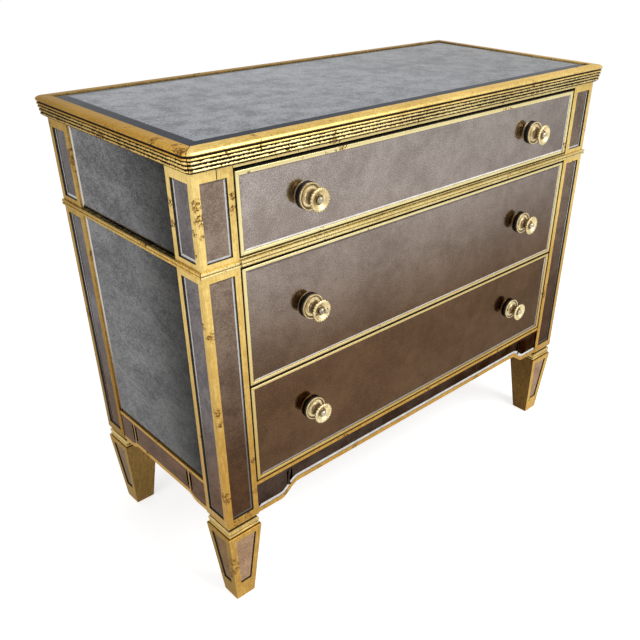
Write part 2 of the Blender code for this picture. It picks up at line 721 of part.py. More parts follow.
def make_drawer(label):
    bottom, top = FRONT_HEIGHTS[label]
    name = "drawer_%s" % label
    height = top - bottom
    origin = bpy.data.objects.new(name + "_origin", None)
    origin.location = (0, FRONT_FACE, bottom)
    origin.parent = CHEST
    PARTS.objects.link(origin)
    front = box(name + "_front", (-FRONT_HALF, 0, 0), (FRONT_HALF, FRONT_THICKNESS, height),
                "gold_frame", origin)
    round_edges(front, EDGE_ROUND)
    sunk = FRAME_REVEAL + GLASS + FIT_GAP
    inner = FRONT_HALF - FRAME_STILE
    cut(front, box(name + "_front_cut", (-inner, -sunk, FRAME_RAIL),
                   (inner, sunk, height - FRAME_RAIL), parent=origin))
    glass = plate(name + "_mirror", (-inner + FIT_GAP, FRAME_REVEAL, FRAME_RAIL + FIT_GAP),
                  (inner - FIT_GAP, FRAME_REVEAL + GLASS, height - FRAME_RAIL - FIT_GAP),
                  1, -1, DRAWER_BEVEL, PLATE_BEVEL_DEPTH, origin)
    tray_low = (-BOX_HALF, FRONT_THICKNESS + FIT_GAP, BOX_LIFT)
    tray_high = (BOX_HALF, BACK_INNER - BOX_REAR_GAP - FRONT_FACE, height - BOX_DROP)
    tray = box(name + "_box", tray_low, tray_high, "drawer_wood", origin)
    cut(tray, box(name + "_box_cut",
                  (tray_low[0] + BOX_WALL, tray_low[1] + BOX_WALL, tray_low[2] + BOX_FLOOR),
                  (tray_high[0] - BOX_WALL, tray_high[1] - BOX_WALL, tray_high[2] + BOX_WALL),
                  parent=origin))
    for side in (-1, 1):
        word = side_name(side)
        place = (side * KNOB_X, KNOB_SEAT, height / 2)
        turned("%s_knob_%s" % (name, word), knob_profile(), KNOB_SEGMENTS, "knob_brass", place,
               (math.pi / 2, 0, 0), origin)
        bm = bmesh.new()
        bmesh.ops.create_cone(bm, cap_ends=True, segments=BORE_SEGMENTS,
                              radius1=STUD_RADIUS + FIT_GAP * 2, radius2=STUD_RADIUS + FIT_GAP * 2,
                              depth=2 * (STUD_LENGTH + FIT_GAP))
        bore = add_object("%s_bore_%s" % (name, word), finish_mesh(name + "_bore", bm), None, place,
                          (math.pi / 2, 0, 0), origin)
        cut(glass, bore)
        cut(front, bore)


clear_scene()
PARTS = collection("mirrored_chest")
CUTTERS = collection("cutters")
CHEST = bpy.data.objects.new("chest_origin", None)
CHEST.location = (0, CENTRE_Y, 0)
PARTS.objects.link(CHEST)
for post_end in (-1, 1):
    for post_side in (-1, 1):
        make_post(post_side, post_end)
        make_foot(post_side, post_end)
make_top()
for case_side in (-1, 1):
    make_band(case_side)
    make_side(case_side)
make_apron("apron_front", 0, -1)
make_apron("apron_left", 1, -1)
make_apron("apron_right", 1, 1)
make_mid_rail()
make_case_boards()
make_runners()
for drawer_label in FRONT_HEIGHTS:
    make_drawer(drawer_label)
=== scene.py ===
"""Dressed model of the mirrored chest: worn gold leaf, old silvered glass, cup knobs and aprons."""
import math

import bmesh
import bpy
from mathutils import Matrix, Vector


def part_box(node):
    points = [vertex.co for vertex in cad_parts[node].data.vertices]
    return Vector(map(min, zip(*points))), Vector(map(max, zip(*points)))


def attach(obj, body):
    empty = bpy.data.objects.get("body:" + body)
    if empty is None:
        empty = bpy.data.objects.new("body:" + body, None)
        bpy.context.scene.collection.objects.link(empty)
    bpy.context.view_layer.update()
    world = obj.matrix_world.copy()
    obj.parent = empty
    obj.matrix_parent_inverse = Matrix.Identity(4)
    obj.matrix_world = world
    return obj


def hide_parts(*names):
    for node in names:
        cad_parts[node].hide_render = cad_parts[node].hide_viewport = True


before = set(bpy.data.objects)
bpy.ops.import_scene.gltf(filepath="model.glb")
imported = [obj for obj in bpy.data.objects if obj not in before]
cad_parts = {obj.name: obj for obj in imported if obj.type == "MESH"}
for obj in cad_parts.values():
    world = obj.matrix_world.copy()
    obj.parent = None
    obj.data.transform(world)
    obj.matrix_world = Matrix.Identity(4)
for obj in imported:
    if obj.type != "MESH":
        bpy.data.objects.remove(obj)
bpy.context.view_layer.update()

# Camera at the photograph's viewing angle
CAMERA_PLACE = (-0.95647, -1.00798, 1.06795)
CAMERA_AZIMUTH = -0.77125
CAMERA_ELEVATION = 0.55089
CAMERA_ROLL = 0.01528
FOCAL_PIXELS = 746.05
FRAME_PIXELS = 640
FRAME_MIDDLE = (360.0, 370.0)
SENSOR = 36.0

# Studio
LAMP_TARGET = (0, 0, 0.4)
FLOOR_SIZE = 40

# Clearances, bends, and how squarely a face looks one way
FIT = 0.0003
MERGE = 0.00002
SAME_PLACE = 0.0001
MITRE_FACING = 0.3
FACING = 0.8
SHOWN_FACING = 0.9
RIM_FACING = 0.2
FLAT_STEP = 0.0003
HOLLOW_BEND = math.radians(-20)
WALL_BEND = math.radians(-60)
DARK_FACING = 0.95
SMOOTH_ANGLE = math.radians(35)

# Finishes by number: the first two of a piece
OWN, SECOND = 0, 1

# Sides and ends of the case, and the corners where each top moulding is mitred
SIDES = ((-1, "left"), (1, "right"))
ENDS = ((-1, "front"), (1, "rear"))
MITRES = {"front": ((-1, -1), (1, -1)), "rear": ((-1, 1), (1, 1)),
          "left": ((-1, -1), (-1, 1)), "right": ((1, -1), (1, 1))}

# Case sizes that the new pieces follow
HALF_X = 0.4695
HALF_Y = 0.206
CENTRE_Y = 0.0083
POST_INNER_X = 0.4055
POST_INNER_Y = 0.142

# Glass plates
RIM = {"post": 0.0034, "post_side": 0.0046, "side": 0.0085, "top": 0.020, "apron": 0.0060, "foot": 0.002,
       "drawer_top": 0.003, "drawer_middle": 0.003, "drawer_bottom": 0.005}
RIM_FALL = 0.0008
APRON_RIM_FALL = 0.0003
FOOT_RIM_FALL = 0.0002

# Legs and the glass let into them
LEG_HEIGHT = 0.160
LEG_OUT = 0.0018
LEG_EDGE = 0.0025
LEG_OUTER_TAPER = 0.012
LEG_INNER_TAPER = 0.0195
LEG_OUTER_STRIP = 0.0125
LEG_INNER_STRIP = 0.0105
LEG_GLASS_FOOT = 0.0395
LEG_GLASS_HEAD = 0.1485
LEG_RECESS = 0.003
LEG_GLASS = 0.0008
NECK_FOOT = 0.176

# Aprons
APRON_END_BOTTOM = 0.184
APRON_TOP = 0.2505
APRON_RAIL = 0.0063
APRON_EDGING = 0.009
APRON_SETBACK = 0.001
APRON_FIELD = 0.003
APRON_GLASS = 0.0022
APRON_SHAPES = {
    "front": {"rise": 0.0215, "outer": 0.3557, "inner": 0.3177, "end": 0.4052, "joint": 0.335},
    "side": {"rise": 0.008, "outer": 0.1097, "inner": 0.0857, "end": 0.1417, "joint": 0.0927},
}
MUNTIN_HALF = 0.0014
GLASS_JOINT = 0.0004
CURVE_STEPS = 8

# Plain strips under the top moulding and on the middle rail
HEAD_RAIL_HEIGHT = 0.0050
HEAD_RAIL_DEPTH = 0.012
RAIL_LIP_HEIGHT = 0.0017

# Drawer boxes
BOX_WALL = 0.012
BOX_FLOOR = 0.007
BOARD_EDGE = 0.0006

# Drawer fronts
FRAME_STILE = 0.0065
FRAME_RAIL = 0.005
FRAME_HEAD = 0.007
FRAME_SUNK = 0.0045
FRAME_ROUND = 0.0016
STRIP_ROUND = FRAME_ROUND / 3
MITRE_GAP = 0.00018
MITRE_DARK = 0.0006
LIP = 0.0095
# How far the grooves' dirt and painted shade spread onto the points beside them
TOP_REED_SPREAD = 0.80
BAND_REED_SPREAD = 0.05
NOSING_BOTTOM = 0.8045
# Heights of a dark line of dirt and painted shade along the lower edge of the bands and the middle rail
RAIL_EDGES = ((0.6407, 0.6413),)
JOINT_X = -0.4315
JOINT_HALF = 0.0012
DRAWERS = ("top", "middle", "bottom")

# Knobs: distances out from the drawer front and radii; the outlines' points are in millimetres
MM = 0.001
KNOB_REACH = 0.031
KNOB_STEPS = 72
SEED_SIZE = 0.01
SCALLOPS = 24
SCALLOP_DEPTH = 0.91
WASHER = ((0, 4), (20.6, 4), (20.9, 3.6), (20.9, 0.3), (20.6, 0), (0, 0))
FLANGE = ((0, 13.5), (9, 13.5), (9.4, 10), (10.4, 8.8), (11.2, 8), (12.2, 5.8), (14, 5), (15.8, 5),
          (17.6, 5.8), (18.6, 7), (19.3, 7.5), (20, 7.4), (20.5, 6.7), (20.7, 5.6), (20.6, 4.5), (20.2, 4.2),
          (0, 4.2))
BUTTON = ((0, 23.8), (6.4, 23.8), (7.8, 23.6), (9, 23.9), (10.4, 24.8), (11.8, 26), (13.2, 27.2), (14.4, 28),
          (15.6, 28.4), (16.8, 28.4), (17.8, 27.8), (18.4, 26.8), (18.4, 25.6), (17.8, 24.5), (16.2, 23.2),
          (14, 21.8), (11.6, 20), (9.8, 18.2), (8.8, 16.4), (8.4, 14.2), (8.3, 11), (0, 11))
BUTTON_RING = ((6, 23.9), (6.2, 25), (7.2, 25.2), (7.9, 24.5), (8, 23.9), (6, 23.9))
BUTTON_BACK = 0.0200
FLANGE_BOSS = 0.0112
FLANGE_GROOVE = (0.0162, 0.0188)
NOTCH_SHARE = 0.17
NOTCH_INNER = 0.0158
NOTCH_BACK = 0.0235
PEARL = ((0, 31), (1.8, 30.8), (3.4, 30.1), (4.6, 29), (5.3, 27.6), (5.5, 26), (5.5, 24), (0, 24))

# Colours, linear; a pair is its light tone and its deep one
GLANCING_PALE = (1.0, 0.92, 0.72)
GLANCING_DEEP = (0.94, 0.80, 0.52)
GOLD_POST = ((0.84, 0.635, 0.235), (0.59, 0.395, 0.11))
GOLD_REED = ((0.70, 0.59, 0.28), (0.60, 0.46, 0.18))
GOLD_FRAME = ((0.74, 0.66, 0.37), (0.70, 0.59, 0.28))
# Painted light and shade: leaf for faces turned to the sides, the rear posts and the front moulding's flat
# top, bright at the front
GOLD_SHADE = ((0.94, 0.69, 0.24), (0.56, 0.35, 0.08))
# Painted shade: darker leaf for the nosings and flat tops of the side and rear mouldings
GOLD_NOSING_SHADE = ((0.66, 0.40, 0.085), (0.40, 0.20, 0.03))
# Painted shade: dark leaf for the faces of the legs turned in under the case
GOLD_INNER_SHADE = ((0.25, 0.15, 0.042), (0.15, 0.085, 0.02))
# Painted shade: darker leaf for the faces of the feet turned to the sides
GOLD_FOOT_SIDE_SHADE = ((0.30, 0.18, 0.04), (0.17, 0.09, 0.016))
# Painted shade: very dark leaf for the necks of the feet and their faces turned in across the case
GOLD_NECK_SHADE = ((0.13, 0.068, 0.014), (0.055, 0.027, 0.006))
GOLD_BEAD = ((0.58, 0.45, 0.18), (0.42, 0.28, 0.085))
GOLD_FOOT = ((0.55, 0.345, 0.085), (0.35, 0.19, 0.035))
# Painted shade: the leaf of the sides darkens by this tone towards the rear
REAR_PAINTED_SHADE = (0.50, 0.46, 0.44)
# Painted shade: the gold leaf darkens by this tone towards the bottom
LOWER_PAINTED_SHADE = (0.56, 0.43, 0.235)
BOLE = (0.38, 0.19, 0.035)
# Brown of dirt and painted shade round the grooves of the leaf
GRIME_AND_SHADE_BROWN = (0.20, 0.115, 0.035)
SPECK_BROWN = (0.11, 0.045, 0.01)
# Near-black of dirt and painted shade in the grooves, also the tarnish of dark metal
SOOT_AND_SHADE = (0.016, 0.011, 0.008)
# Tones of the old glass: the silver's own tone with a painted reflection of what each place faced, greyer
# and darker on the sides, brown on drawers and feet, near-black on the aprons
SILVER_TOP = ((0.44, 0.465, 0.51), (0.15, 0.158, 0.175))
SILVER_SIDE = ((0.25, 0.246, 0.246), (0.095, 0.093, 0.094))
SILVER_DRAWER = ((0.37, 0.328, 0.302), (0.205, 0.173, 0.154))
SILVER_STRIP = ((0.235, 0.18, 0.138), (0.125, 0.092, 0.07))
SILVER_STRIP_SIDE = ((0.185, 0.165, 0.165), (0.095, 0.083, 0.083))
SILVER_APRON = ((0.062, 0.043, 0.033), (0.028, 0.018, 0.013))
SILVER_FOOT = ((0.38, 0.245, 0.15), (0.22, 0.135, 0.08))
# Painted reflection: darker, browner glass for the side faces of the legs
SILVER_FOOT_SIDE_SHADE = ((0.26, 0.14, 0.036), (0.135, 0.068, 0.015))
# Painted highlights: pale tones for the bevelled rims of the glass, on the edges that lean one way
SILVER_EDGE_HIGHLIGHT = ((0.72, 0.70, 0.67), (0.46, 0.44, 0.41))
SILVER_RIM_HIGHLIGHT = ((0.97, 0.96, 0.94), (0.74, 0.72, 0.69))
SILVER_EDGE_SIDE_HIGHLIGHT = ((1.0, 0.99, 0.97), (0.95, 0.93, 0.90))
SLATE_RIM = ((0.075, 0.084, 0.108), (0.045, 0.051, 0.067))
# Painted reflection: the post and drawer glass grows darker and browner towards the bottom by these tones
STRIP_PAINTED_REFLECTION = (0.32, 0.215, 0.14)
DRAWER_PAINTED_REFLECTION = (0.29, 0.19, 0.11)
SIDE_STRIP_PAINTED_REFLECTION = (0.85, 0.50, 0.26)
# Painted reflection: the top glass darkens by this tone towards the right, the side glass by the next
# towards the front
TOP_PAINTED_REFLECTION = (0.58, 0.56, 0.54)
SIDE_PAINTED_REFLECTION = (0.14, 0.14, 0.13)
# Painted shade: the rims' painted highlights dim by this tone towards the bottom
RIM_PAINTED_SHADE = (0.30, 0.27, 0.24)
FOXING = (0.035, 0.028, 0.024)
BRASS = ((0.82, 0.70, 0.43), (0.55, 0.42, 0.19))
TARNISH = (0.085, 0.055, 0.025)
TARNISHED_BRASS = ((0.26, 0.185, 0.095), (0.12, 0.08, 0.04))
PEARL_SILVER = ((0.52, 0.47, 0.37), (0.28, 0.24, 0.17))
IRON_BLACK = ((0.012, 0.01, 0.008), (0.006, 0.005, 0.004))
SHADOW_BROWN = ((0.024, 0.016, 0.01), (0.01, 0.0065, 0.004))
CASE_WOOD = ((0.115, 0.06, 0.03), (0.05, 0.026, 0.014))
DRAWER_WOOD = ((0.48, 0.33, 0.19), (0.31, 0.195, 0.10))
STUDIO_WHITE = (1, 1, 1)
FLOOR_PALE = (0.80, 0.80, 0.80)

# Noise patterns: scale per metre, detail, roughness and distortion
PATTERNS = {
    "broad": (6.0, 2.0, 0.55), "patch": (24.0, 2.0, 0.5), "mottle": (150.0, 5.0, 0.62, 0.3),
    "fine": (290.0, 2.0, 0.6), "grit": (1300.0, 2.0, 0.55), "brushed": (420.0, 2.0, 0.6),
    "breaks": (260.0, 2.0, 0.55), "drift": (9.0, 2.0, 0.55), "cloud": (1.0, 5.0, 0.6, 0.3),
    "mist": (1.0, 4.0, 0.65), "grain": (520.0, 3.0, 0.6), "spots": (300.0, 3.0, 0.6),
    "swell": (4.0, 1.0, 0.55), "wave": (1.0, 5.0, 0.6, 0.8), "pores": (1.0, 2.0, 0.55),
}
BRUSH_STRETCH = (1.0, 1.0, 0.07)
GRAIN_STRETCH = (2.0, 46.0, 46.0)
PORE_STRETCH = (26.0, 700.0, 700.0)
MIST_FINER = 7.0

# Shares in which patterns are added up
TONE_SHARES = (0.30, 0.30, 0.40)
RUB_SHARES = (1.0, 0.26, 0.12)
SPECK_SHARES = (1.0, 0.20, 0.12)
RELIEF_SHARES = (0.35, -0.5, -0.6, 0.5)
BREAK_SHARES = (0.7, 0.3)
CLOUD_SHARES = (0.6, 0.4)
SPOT_SHARES = (1.0, 0.6)

# Levels between which an effect grows from none to full
CLUSTER_RANGE = (0.62, 0.69)
TONE_RANGE = (0.38, 0.62)
RUBBED_RANGE = (0.74, 0.92)
SPECK_RANGE = (0.78, 0.81)
GRIME_AND_SHADE_RANGE = (0.12, 0.60)
DIRT_AND_SHADE_RANGE = (0.40, 0.64)
CLOUD_RANGE = (0.40, 0.60)
GRAIN_RANGE = (0.36, 0.64)
PORE_RANGE = (0.60, 0.70)
# Heights between which the painted shade at the bottom of the leaf fades out
LOWER_SHADE_HEIGHTS = (0.20, 0.76)
MIDDLE_LEVEL = 0.5
MARK_LEVEL = 0.82
MARK_REACH = 0.14
MARK_BLUR = 0.06
WORN_CORE = 3

# Surface values: how fully a tone covers, metal, roughness, relief and depth of bump
BOLE_COVER = 0.75
SPECK_COVER = 0.9
GRIME_AND_SHADE_COVER = 0.75
SOOT_AND_SHADE_COVER = 0.97
PORE_COVER = 0.5
LEAF_METAL = 0.78
LEAF_SPECULAR = 0.15
BARE_METAL = 0.05
LEAF_ROUGH = 0.30
BARE_ROUGH = 0.70
TONE_ROUGH = 0.10
LEAF_BUMP = 0.0006
FOXED_METAL = 0.3
CLOUD_ROUGH = 0.07
GLASS_RELIEF = 0.15
GLASS_BUMP = 0.002
GRAIN_ROUGH = 0.5
PORE_ROUGH = 0.62
WOOD_RELIEF = 0.25
WOOD_BUMP = 0.0004
METAL_RELIEF = 0.15
METAL_BUMP = 0.0003
FLOOR_LIFT = 0.66
WORLD_LIGHT = 0.42

# Where the leaf of the near post is worn through: place and reach
WORN_SPOTS = (
    ((-0.464, -0.1977, 0.744), 0.017), ((-0.462, -0.1977, 0.722), 0.016),
    ((-0.4695, -0.186, 0.565), 0.013), ((-0.464, -0.1977, 0.550), 0.014),
    ((-0.466, -0.1977, 0.420), 0.013), ((-0.462, -0.1977, 0.398), 0.012),
    ((-0.409, -0.1977, 0.745), 0.010), ((-0.409, -0.1977, 0.726), 0.012),
    ((-0.4695, -0.138, 0.735), 0.010), ((-0.4695, -0.138, 0.705), 0.012),
    ((-0.467, -0.1955, 0.104), 0.016), ((-0.464, -0.1935, 0.080), 0.014),
    ((-0.452, -0.1977, 0.190), 0.013), ((-0.428, -0.1977, 0.192), 0.012),
    ((-0.409, -0.1977, 0.300), 0.010), ((-0.409, -0.1977, 0.235), 0.011),
)


# Shader helpers

# Sockets of a colour mix
FIRST_COLOUR, SECOND_COLOUR, MIXED_COLOUR = 6, 7, 2


def opaque(colour):
    return (*colour, 1)


def feed(tree, socket, source):
    """Joins an output to a socket, or sets the socket's own value."""
    if isinstance(source, bpy.types.NodeSocket):
        tree.links.new(source, socket)
    else:
        socket.default_value = opaque(source) if socket.type == "RGBA" else source


def add_node(tree, kind, inputs=None, **settings):
    made = tree.nodes.new(kind)
    for name, value in settings.items():
        setattr(made, name, value)
    for label, source in (inputs or {}).items():
        feed(tree, made.inputs[label], source)
    return made


def noise(tree, place, pattern, scale=None):
    """One of the noise patterns; a given scale stands for the pattern's own."""
    inputs = dict(zip(("Scale", "Detail", "Roughness", "Distortion"), PATTERNS[pattern]), Vector=place)
    if scale is not None:
        inputs["Scale"] = scale
    return add_node(tree, "ShaderNodeTexNoise", inputs).outputs["Fac"]


def stretched(tree, place, scale):
    return add_node(tree, "ShaderNodeMapping", {"Vector": place, "Scale": scale}).outputs["Vector"]


def window(tree, value, low, high, start=0.0, finish=1.0):
    """Value brought from low..high to start..finish and held there."""
    inputs = {"Value": value, "From Min": low, "From Max": high, "To Min": start, "To Max": finish}
    made = add_node(tree, "ShaderNodeMapRange", inputs, interpolation_type="SMOOTHSTEP")
    return made.outputs["Result"]


def ramp(tree, share, start, finish):
    """From the start at a share of 0 to the finish at a share of 1."""
    return window(tree, share, 0.0, 1.0, start, finish)


def calc(tree, operation, first, second):
    return add_node(tree, "ShaderNodeMath", {0: first, 1: second}, operation=operation).outputs["Value"]


def total(tree, values, shares):
    """Sum of the values, each times its share."""
    whole = 0.0
    for value, share in zip(values, shares):
        made = add_node(tree, "ShaderNodeMath", {0: value, 1: share, 2: whole}, operation="MULTIPLY_ADD")
        whole = made.outputs["Value"]
    return whole


def tint(tree, share, first, second, blend="MIX"):
    inputs = {"Factor": share, FIRST_COLOUR: first, SECOND_COLOUR: second}
    made = add_node(tree, "ShaderNodeMix", inputs, data_type="RGBA", blend_type=blend)
    return made.outputs[MIXED_COLOUR]


def graded(tree, share, tones):
    """From the deep tone of a pair at 0 to its light one at 1."""
    return tint(tree, share, tones[1], tones[0])


def bumped(tree, height, strength, distance):
    inputs = {"Height": height, "Strength": strength, "Distance": distance}
    return add_node(tree, "ShaderNodeBump", inputs).outputs["Normal"]


def painted_shade_fade(tree, place, colour, tone, low, high, axis="Z"):
    """Painted shade: colour that darkens to the tone from the second to the first place along an axis."""
    split = add_node(tree, "ShaderNodeSeparateXYZ", {"Vector": place})
    share = window(tree, split.outputs[axis], low, high, 1.0, 0.0)
    return tint(tree, share, colour, tone, "MULTIPLY")


def own_place(tree):
    return add_node(tree, "ShaderNodeTexCoord").outputs["Object"]


def new_group(name, inputs, outputs):
    """Node group that takes and gives values; an input without a value of its own is a place."""
    group = bpy.data.node_groups.new(name, "ShaderNodeTree")
    for label, value in inputs.items():
        kind = "NodeSocketVector" if value is None else "NodeSocketFloat"
        socket = group.interface.new_socket(label, in_out="INPUT", socket_type=kind)
        if value is not None:
            socket.default_value = value
    for label in outputs:
        group.interface.new_socket(label, in_out="OUTPUT", socket_type="NodeSocketFloat")
    start = group.nodes.new("NodeGroupInput")
    finish = group.nodes.new("NodeGroupOutput")
    return group, start.outputs, finish.inputs


def use_group(tree, group, **values):
    inputs = {name.replace("_", " "): value for name, value in values.items()}
    return add_node(tree, "ShaderNodeGroup", inputs, node_tree=group).outputs


# Shared effects

def make_leaf_wear():
    """Where gold leaf is rubbed to the red clay or flecked with dark specks, which lie in clusters."""
    inputs = {"Place": None, "Rub": 0.5, "Specks": 0.5, "Worn": 0.0}
    outputs = ("Tone", "Rubbed", "Specked", "Height", "Breaks")
    group, given, out = new_group("leaf_wear", inputs, outputs)
    place = given["Place"]
    words = ("broad", "patch", "mottle", "fine", "grit", "breaks", "drift")
    broad, patch, mottle, fine, grit, breaks, drift = (noise(group, place, word) for word in words)
    brushed = noise(group, stretched(group, place, BRUSH_STRETCH), "brushed")
    cluster = calc(group, "MAXIMUM", window(group, patch, *CLUSTER_RANGE), given["Worn"])
    tone = total(group, (mottle, broad, brushed), TONE_SHARES)
    feed(group, out["Tone"], window(group, tone, *TONE_RANGE))
    rubbed = window(group, total(group, (mottle, cluster, given["Rub"]), RUB_SHARES), *RUBBED_RANGE)
    feed(group, out["Rubbed"], rubbed)
    specks = window(group, total(group, (fine, cluster, given["Specks"]), SPECK_SHARES), *SPECK_RANGE)
    feed(group, out["Specked"], specks)
    feed(group, out["Height"], total(group, (grit, rubbed, specks, mottle), RELIEF_SHARES))
    feed(group, out["Breaks"], total(group, (breaks, drift), BREAK_SHARES))
    return group


def make_old_silver():
    """Clouds, fine grain and fox marks of old silvered glass."""
    inputs = {"Place": None, "Cloud Size": 20.0, "Marks": 0.5, "Grain": 0.4}
    group, given, out = new_group("old_silver", inputs, ("Cloud", "Marked", "Height"))
    place = given["Place"]
    cloud = noise(group, place, "cloud", given["Cloud Size"])
    mist = noise(group, place, "mist", calc(group, "MULTIPLY", given["Cloud Size"], MIST_FINER))
    wide = total(group, (cloud, mist), CLOUD_SHARES)
    rest = calc(group, "SUBTRACT", 1.0, given["Grain"])
    both = total(group, (wide, noise(group, place, "grain")), (rest, given["Grain"]))
    feed(group, out["Cloud"], window(group, both, *CLOUD_RANGE))
    level = calc(group, "SUBTRACT", MARK_LEVEL, calc(group, "MULTIPLY", given["Marks"], MARK_REACH))
    lean = (noise(group, place, "spots"), calc(group, "SUBTRACT", mist, MIDDLE_LEVEL))
    marked = window(group, total(group, lean, SPOT_SHARES), level, calc(group, "ADD", level, MARK_BLUR))
    feed(group, out["Marked"], marked)
    feed(group, out["Height"], noise(group, place, "swell"))
    return group


def make_wood_grain():
    """Long grain with pores; the grain runs along the first axis of Place."""
    group, given, out = new_group("wood_grain", {"Place": None}, ("Grain", "Pores"))
    for label, pattern, stretch, levels in (("Grain", "wave", GRAIN_STRETCH, GRAIN_RANGE),
                                            ("Pores", "pores", PORE_STRETCH, PORE_RANGE)):
        streaks = noise(group, stretched(group, given["Place"], stretch), pattern)
        feed(group, out[label], window(group, streaks, *levels))
    return group


LEAF_WEAR = make_leaf_wear()
OLD_SILVER = make_old_silver()
WOOD_GRAIN = make_wood_grain()


# Materials

def new_material(name):
    made = bpy.data.materials.new(name)
    made.use_nodes = True
    return made, made.node_tree, made.node_tree.nodes["Principled BSDF"].inputs


def set_surface(tree, shader, *sources):
    for label, source in zip(("Base Color", "Metallic", "Roughness", "Normal"), sources):
        feed(tree, shader[label], source)


def worn_places(tree, own):
    """1 inside the worn spots of the near post, falling to 0 at their reach."""
    worn = 0.0
    for spot, reach in WORN_SPOTS:
        away = add_node(tree, "ShaderNodeVectorMath", {0: own, 1: spot}, operation="DISTANCE")
        near = window(tree, away.outputs["Value"], reach / WORN_CORE, reach, 1.0, 0.0)
        worn = calc(tree, "MAXIMUM", near, worn)
    return worn


def gold_leaf(name, tones, rub, specks, lower_shade=LOWER_PAINTED_SHADE, relief=0.25, broken=0.4, spotted=False,
              rear=STUDIO_WHITE, glancing=GLANCING_PALE):
    """Leaf over red clay; dirt and painted shade stay in the hollows that the mesh marks in its own
    attribute, and painted shade darkens the leaf towards the bottom and, where a rear tone is given, towards
    the rear.
    """
    made, tree, shader = new_material("gold_leaf_" + name)
    own = own_place(tree)
    worn = worn_places(tree, own) if spotted else 0.0
    wear = use_group(tree, LEAF_WEAR, Place=own, Rub=rub, Specks=specks, Worn=worn)
    # Dirt and painted shade in the hollows that the mesh marks, broken here and there
    hollow = add_node(tree, "ShaderNodeAttribute", attribute_name="hollow").outputs["Fac"]
    uneven = calc(tree, "MULTIPLY", calc(tree, "SUBTRACT", wear["Breaks"], MIDDLE_LEVEL), broken)
    settled_dirt_and_shade = calc(tree, "SUBTRACT", hollow, uneven)
    dirt_and_shade = window(tree, settled_dirt_and_shade, *DIRT_AND_SHADE_RANGE)
    colour = graded(tree, wear["Tone"], tones)
    # Painted shade: darker towards the bottom
    colour = painted_shade_fade(tree, own, colour, lower_shade, *LOWER_SHADE_HEIGHTS)
    # Painted shade: darker towards the rear where a rear tone is given
    colour = painted_shade_fade(tree, own, colour, rear, HALF_Y, -HALF_Y, "Y")
    for share, cover, tone in ((wear["Rubbed"], BOLE_COVER, BOLE),
                               (wear["Specked"], SPECK_COVER, SPECK_BROWN),
                               (window(tree, settled_dirt_and_shade, *GRIME_AND_SHADE_RANGE), GRIME_AND_SHADE_COVER, GRIME_AND_SHADE_BROWN),
                               (dirt_and_shade, SOOT_AND_SHADE_COVER, SOOT_AND_SHADE)):
        colour = tint(tree, calc(tree, "MULTIPLY", share, cover), colour, tone)
    bare = calc(tree, "MAXIMUM", calc(tree, "MAXIMUM", wear["Rubbed"], wear["Specked"]), dirt_and_shade)
    rough = calc(tree, "ADD", ramp(tree, bare, LEAF_ROUGH, BARE_ROUGH),
                 calc(tree, "MULTIPLY", wear["Tone"], TONE_ROUGH))
    shader["Specular IOR Level"].default_value = LEAF_SPECULAR
    shader["Specular Tint"].default_value = opaque(glancing)
    set_surface(tree, shader, colour, ramp(tree, bare, LEAF_METAL, BARE_METAL), rough,
                bumped(tree, wear["Height"], relief, LEAF_BUMP))
    return made


def silvered(name, tones, cloud_size, marks, roughness, stretch=(1, 1, 1), grain=0.4, glancing=0.6,
             fade=None, metal=1.0, misty=1.0):
    """Old mirror. A fade, a painted reflection that darkens the glass, is its deepest tone, the two places
    that it runs between and the axis.

    Misty is the share of silver that is left where the clouds are deepest.
    """
    made, tree, shader = new_material("silvered_glass_" + name)
    own = own_place(tree)
    place = stretched(tree, own, stretch)
    glass = use_group(tree, OLD_SILVER, Place=place, Cloud_Size=cloud_size, Marks=marks, Grain=grain)
    colour = graded(tree, glass["Cloud"], tones)
    if fade:
        colour = painted_shade_fade(tree, own, colour, *fade)
    colour = tint(tree, glass["Marked"], colour, FOXING)
    silver = calc(tree, "MULTIPLY", ramp(tree, glass["Marked"], metal, FOXED_METAL),
                  ramp(tree, glass["Cloud"], misty, 1.0))
    if misty < 1.0:
        shader["Specular IOR Level"].default_value = 0.0
    shader["Specular Tint"].default_value = opaque([glancing] * 3)
    set_surface(tree, shader, colour, silver, ramp(tree, glass["Cloud"], roughness + CLOUD_ROUGH, roughness),
                bumped(tree, glass["Height"], GLASS_RELIEF, GLASS_BUMP))
    return made


def wood(name, tones, turn=(0, 0, 0)):
    made, tree, shader = new_material(name)
    turned_place = add_node(tree, "ShaderNodeMapping", {"Vector": own_place(tree), "Rotation": turn})
    grain = use_group(tree, WOOD_GRAIN, Place=turned_place.outputs["Vector"])
    colour = graded(tree, grain["Grain"], tones)
    colour = tint(tree, calc(tree, "MULTIPLY", grain["Pores"], PORE_COVER), colour, tones[1])
    height = calc(tree, "SUBTRACT", grain["Grain"], grain["Pores"])
    set_surface(tree, shader, colour, 0.0, ramp(tree, grain["Grain"], PORE_ROUGH, GRAIN_ROUGH),
                bumped(tree, height, WOOD_RELIEF, WOOD_BUMP))
    return made


def cast_metal(name, tones, dirt_and_shade, roughness, tarnish, metal=1.0):
    made, tree, shader = new_material(name)
    wear = use_group(tree, LEAF_WEAR, Place=own_place(tree), Rub=tarnish, Specks=tarnish)
    colour = graded(tree, wear["Tone"], tones)
    for share in (wear["Rubbed"], wear["Specked"]):
        colour = tint(tree, share, colour, dirt_and_shade)
    set_surface(tree, shader, colour, ramp(tree, wear["Rubbed"], metal, metal / 2),
                ramp(tree, wear["Tone"], roughness + TONE_ROUGH, roughness),
                bumped(tree, wear["Height"], METAL_RELIEF, METAL_BUMP))
    return made


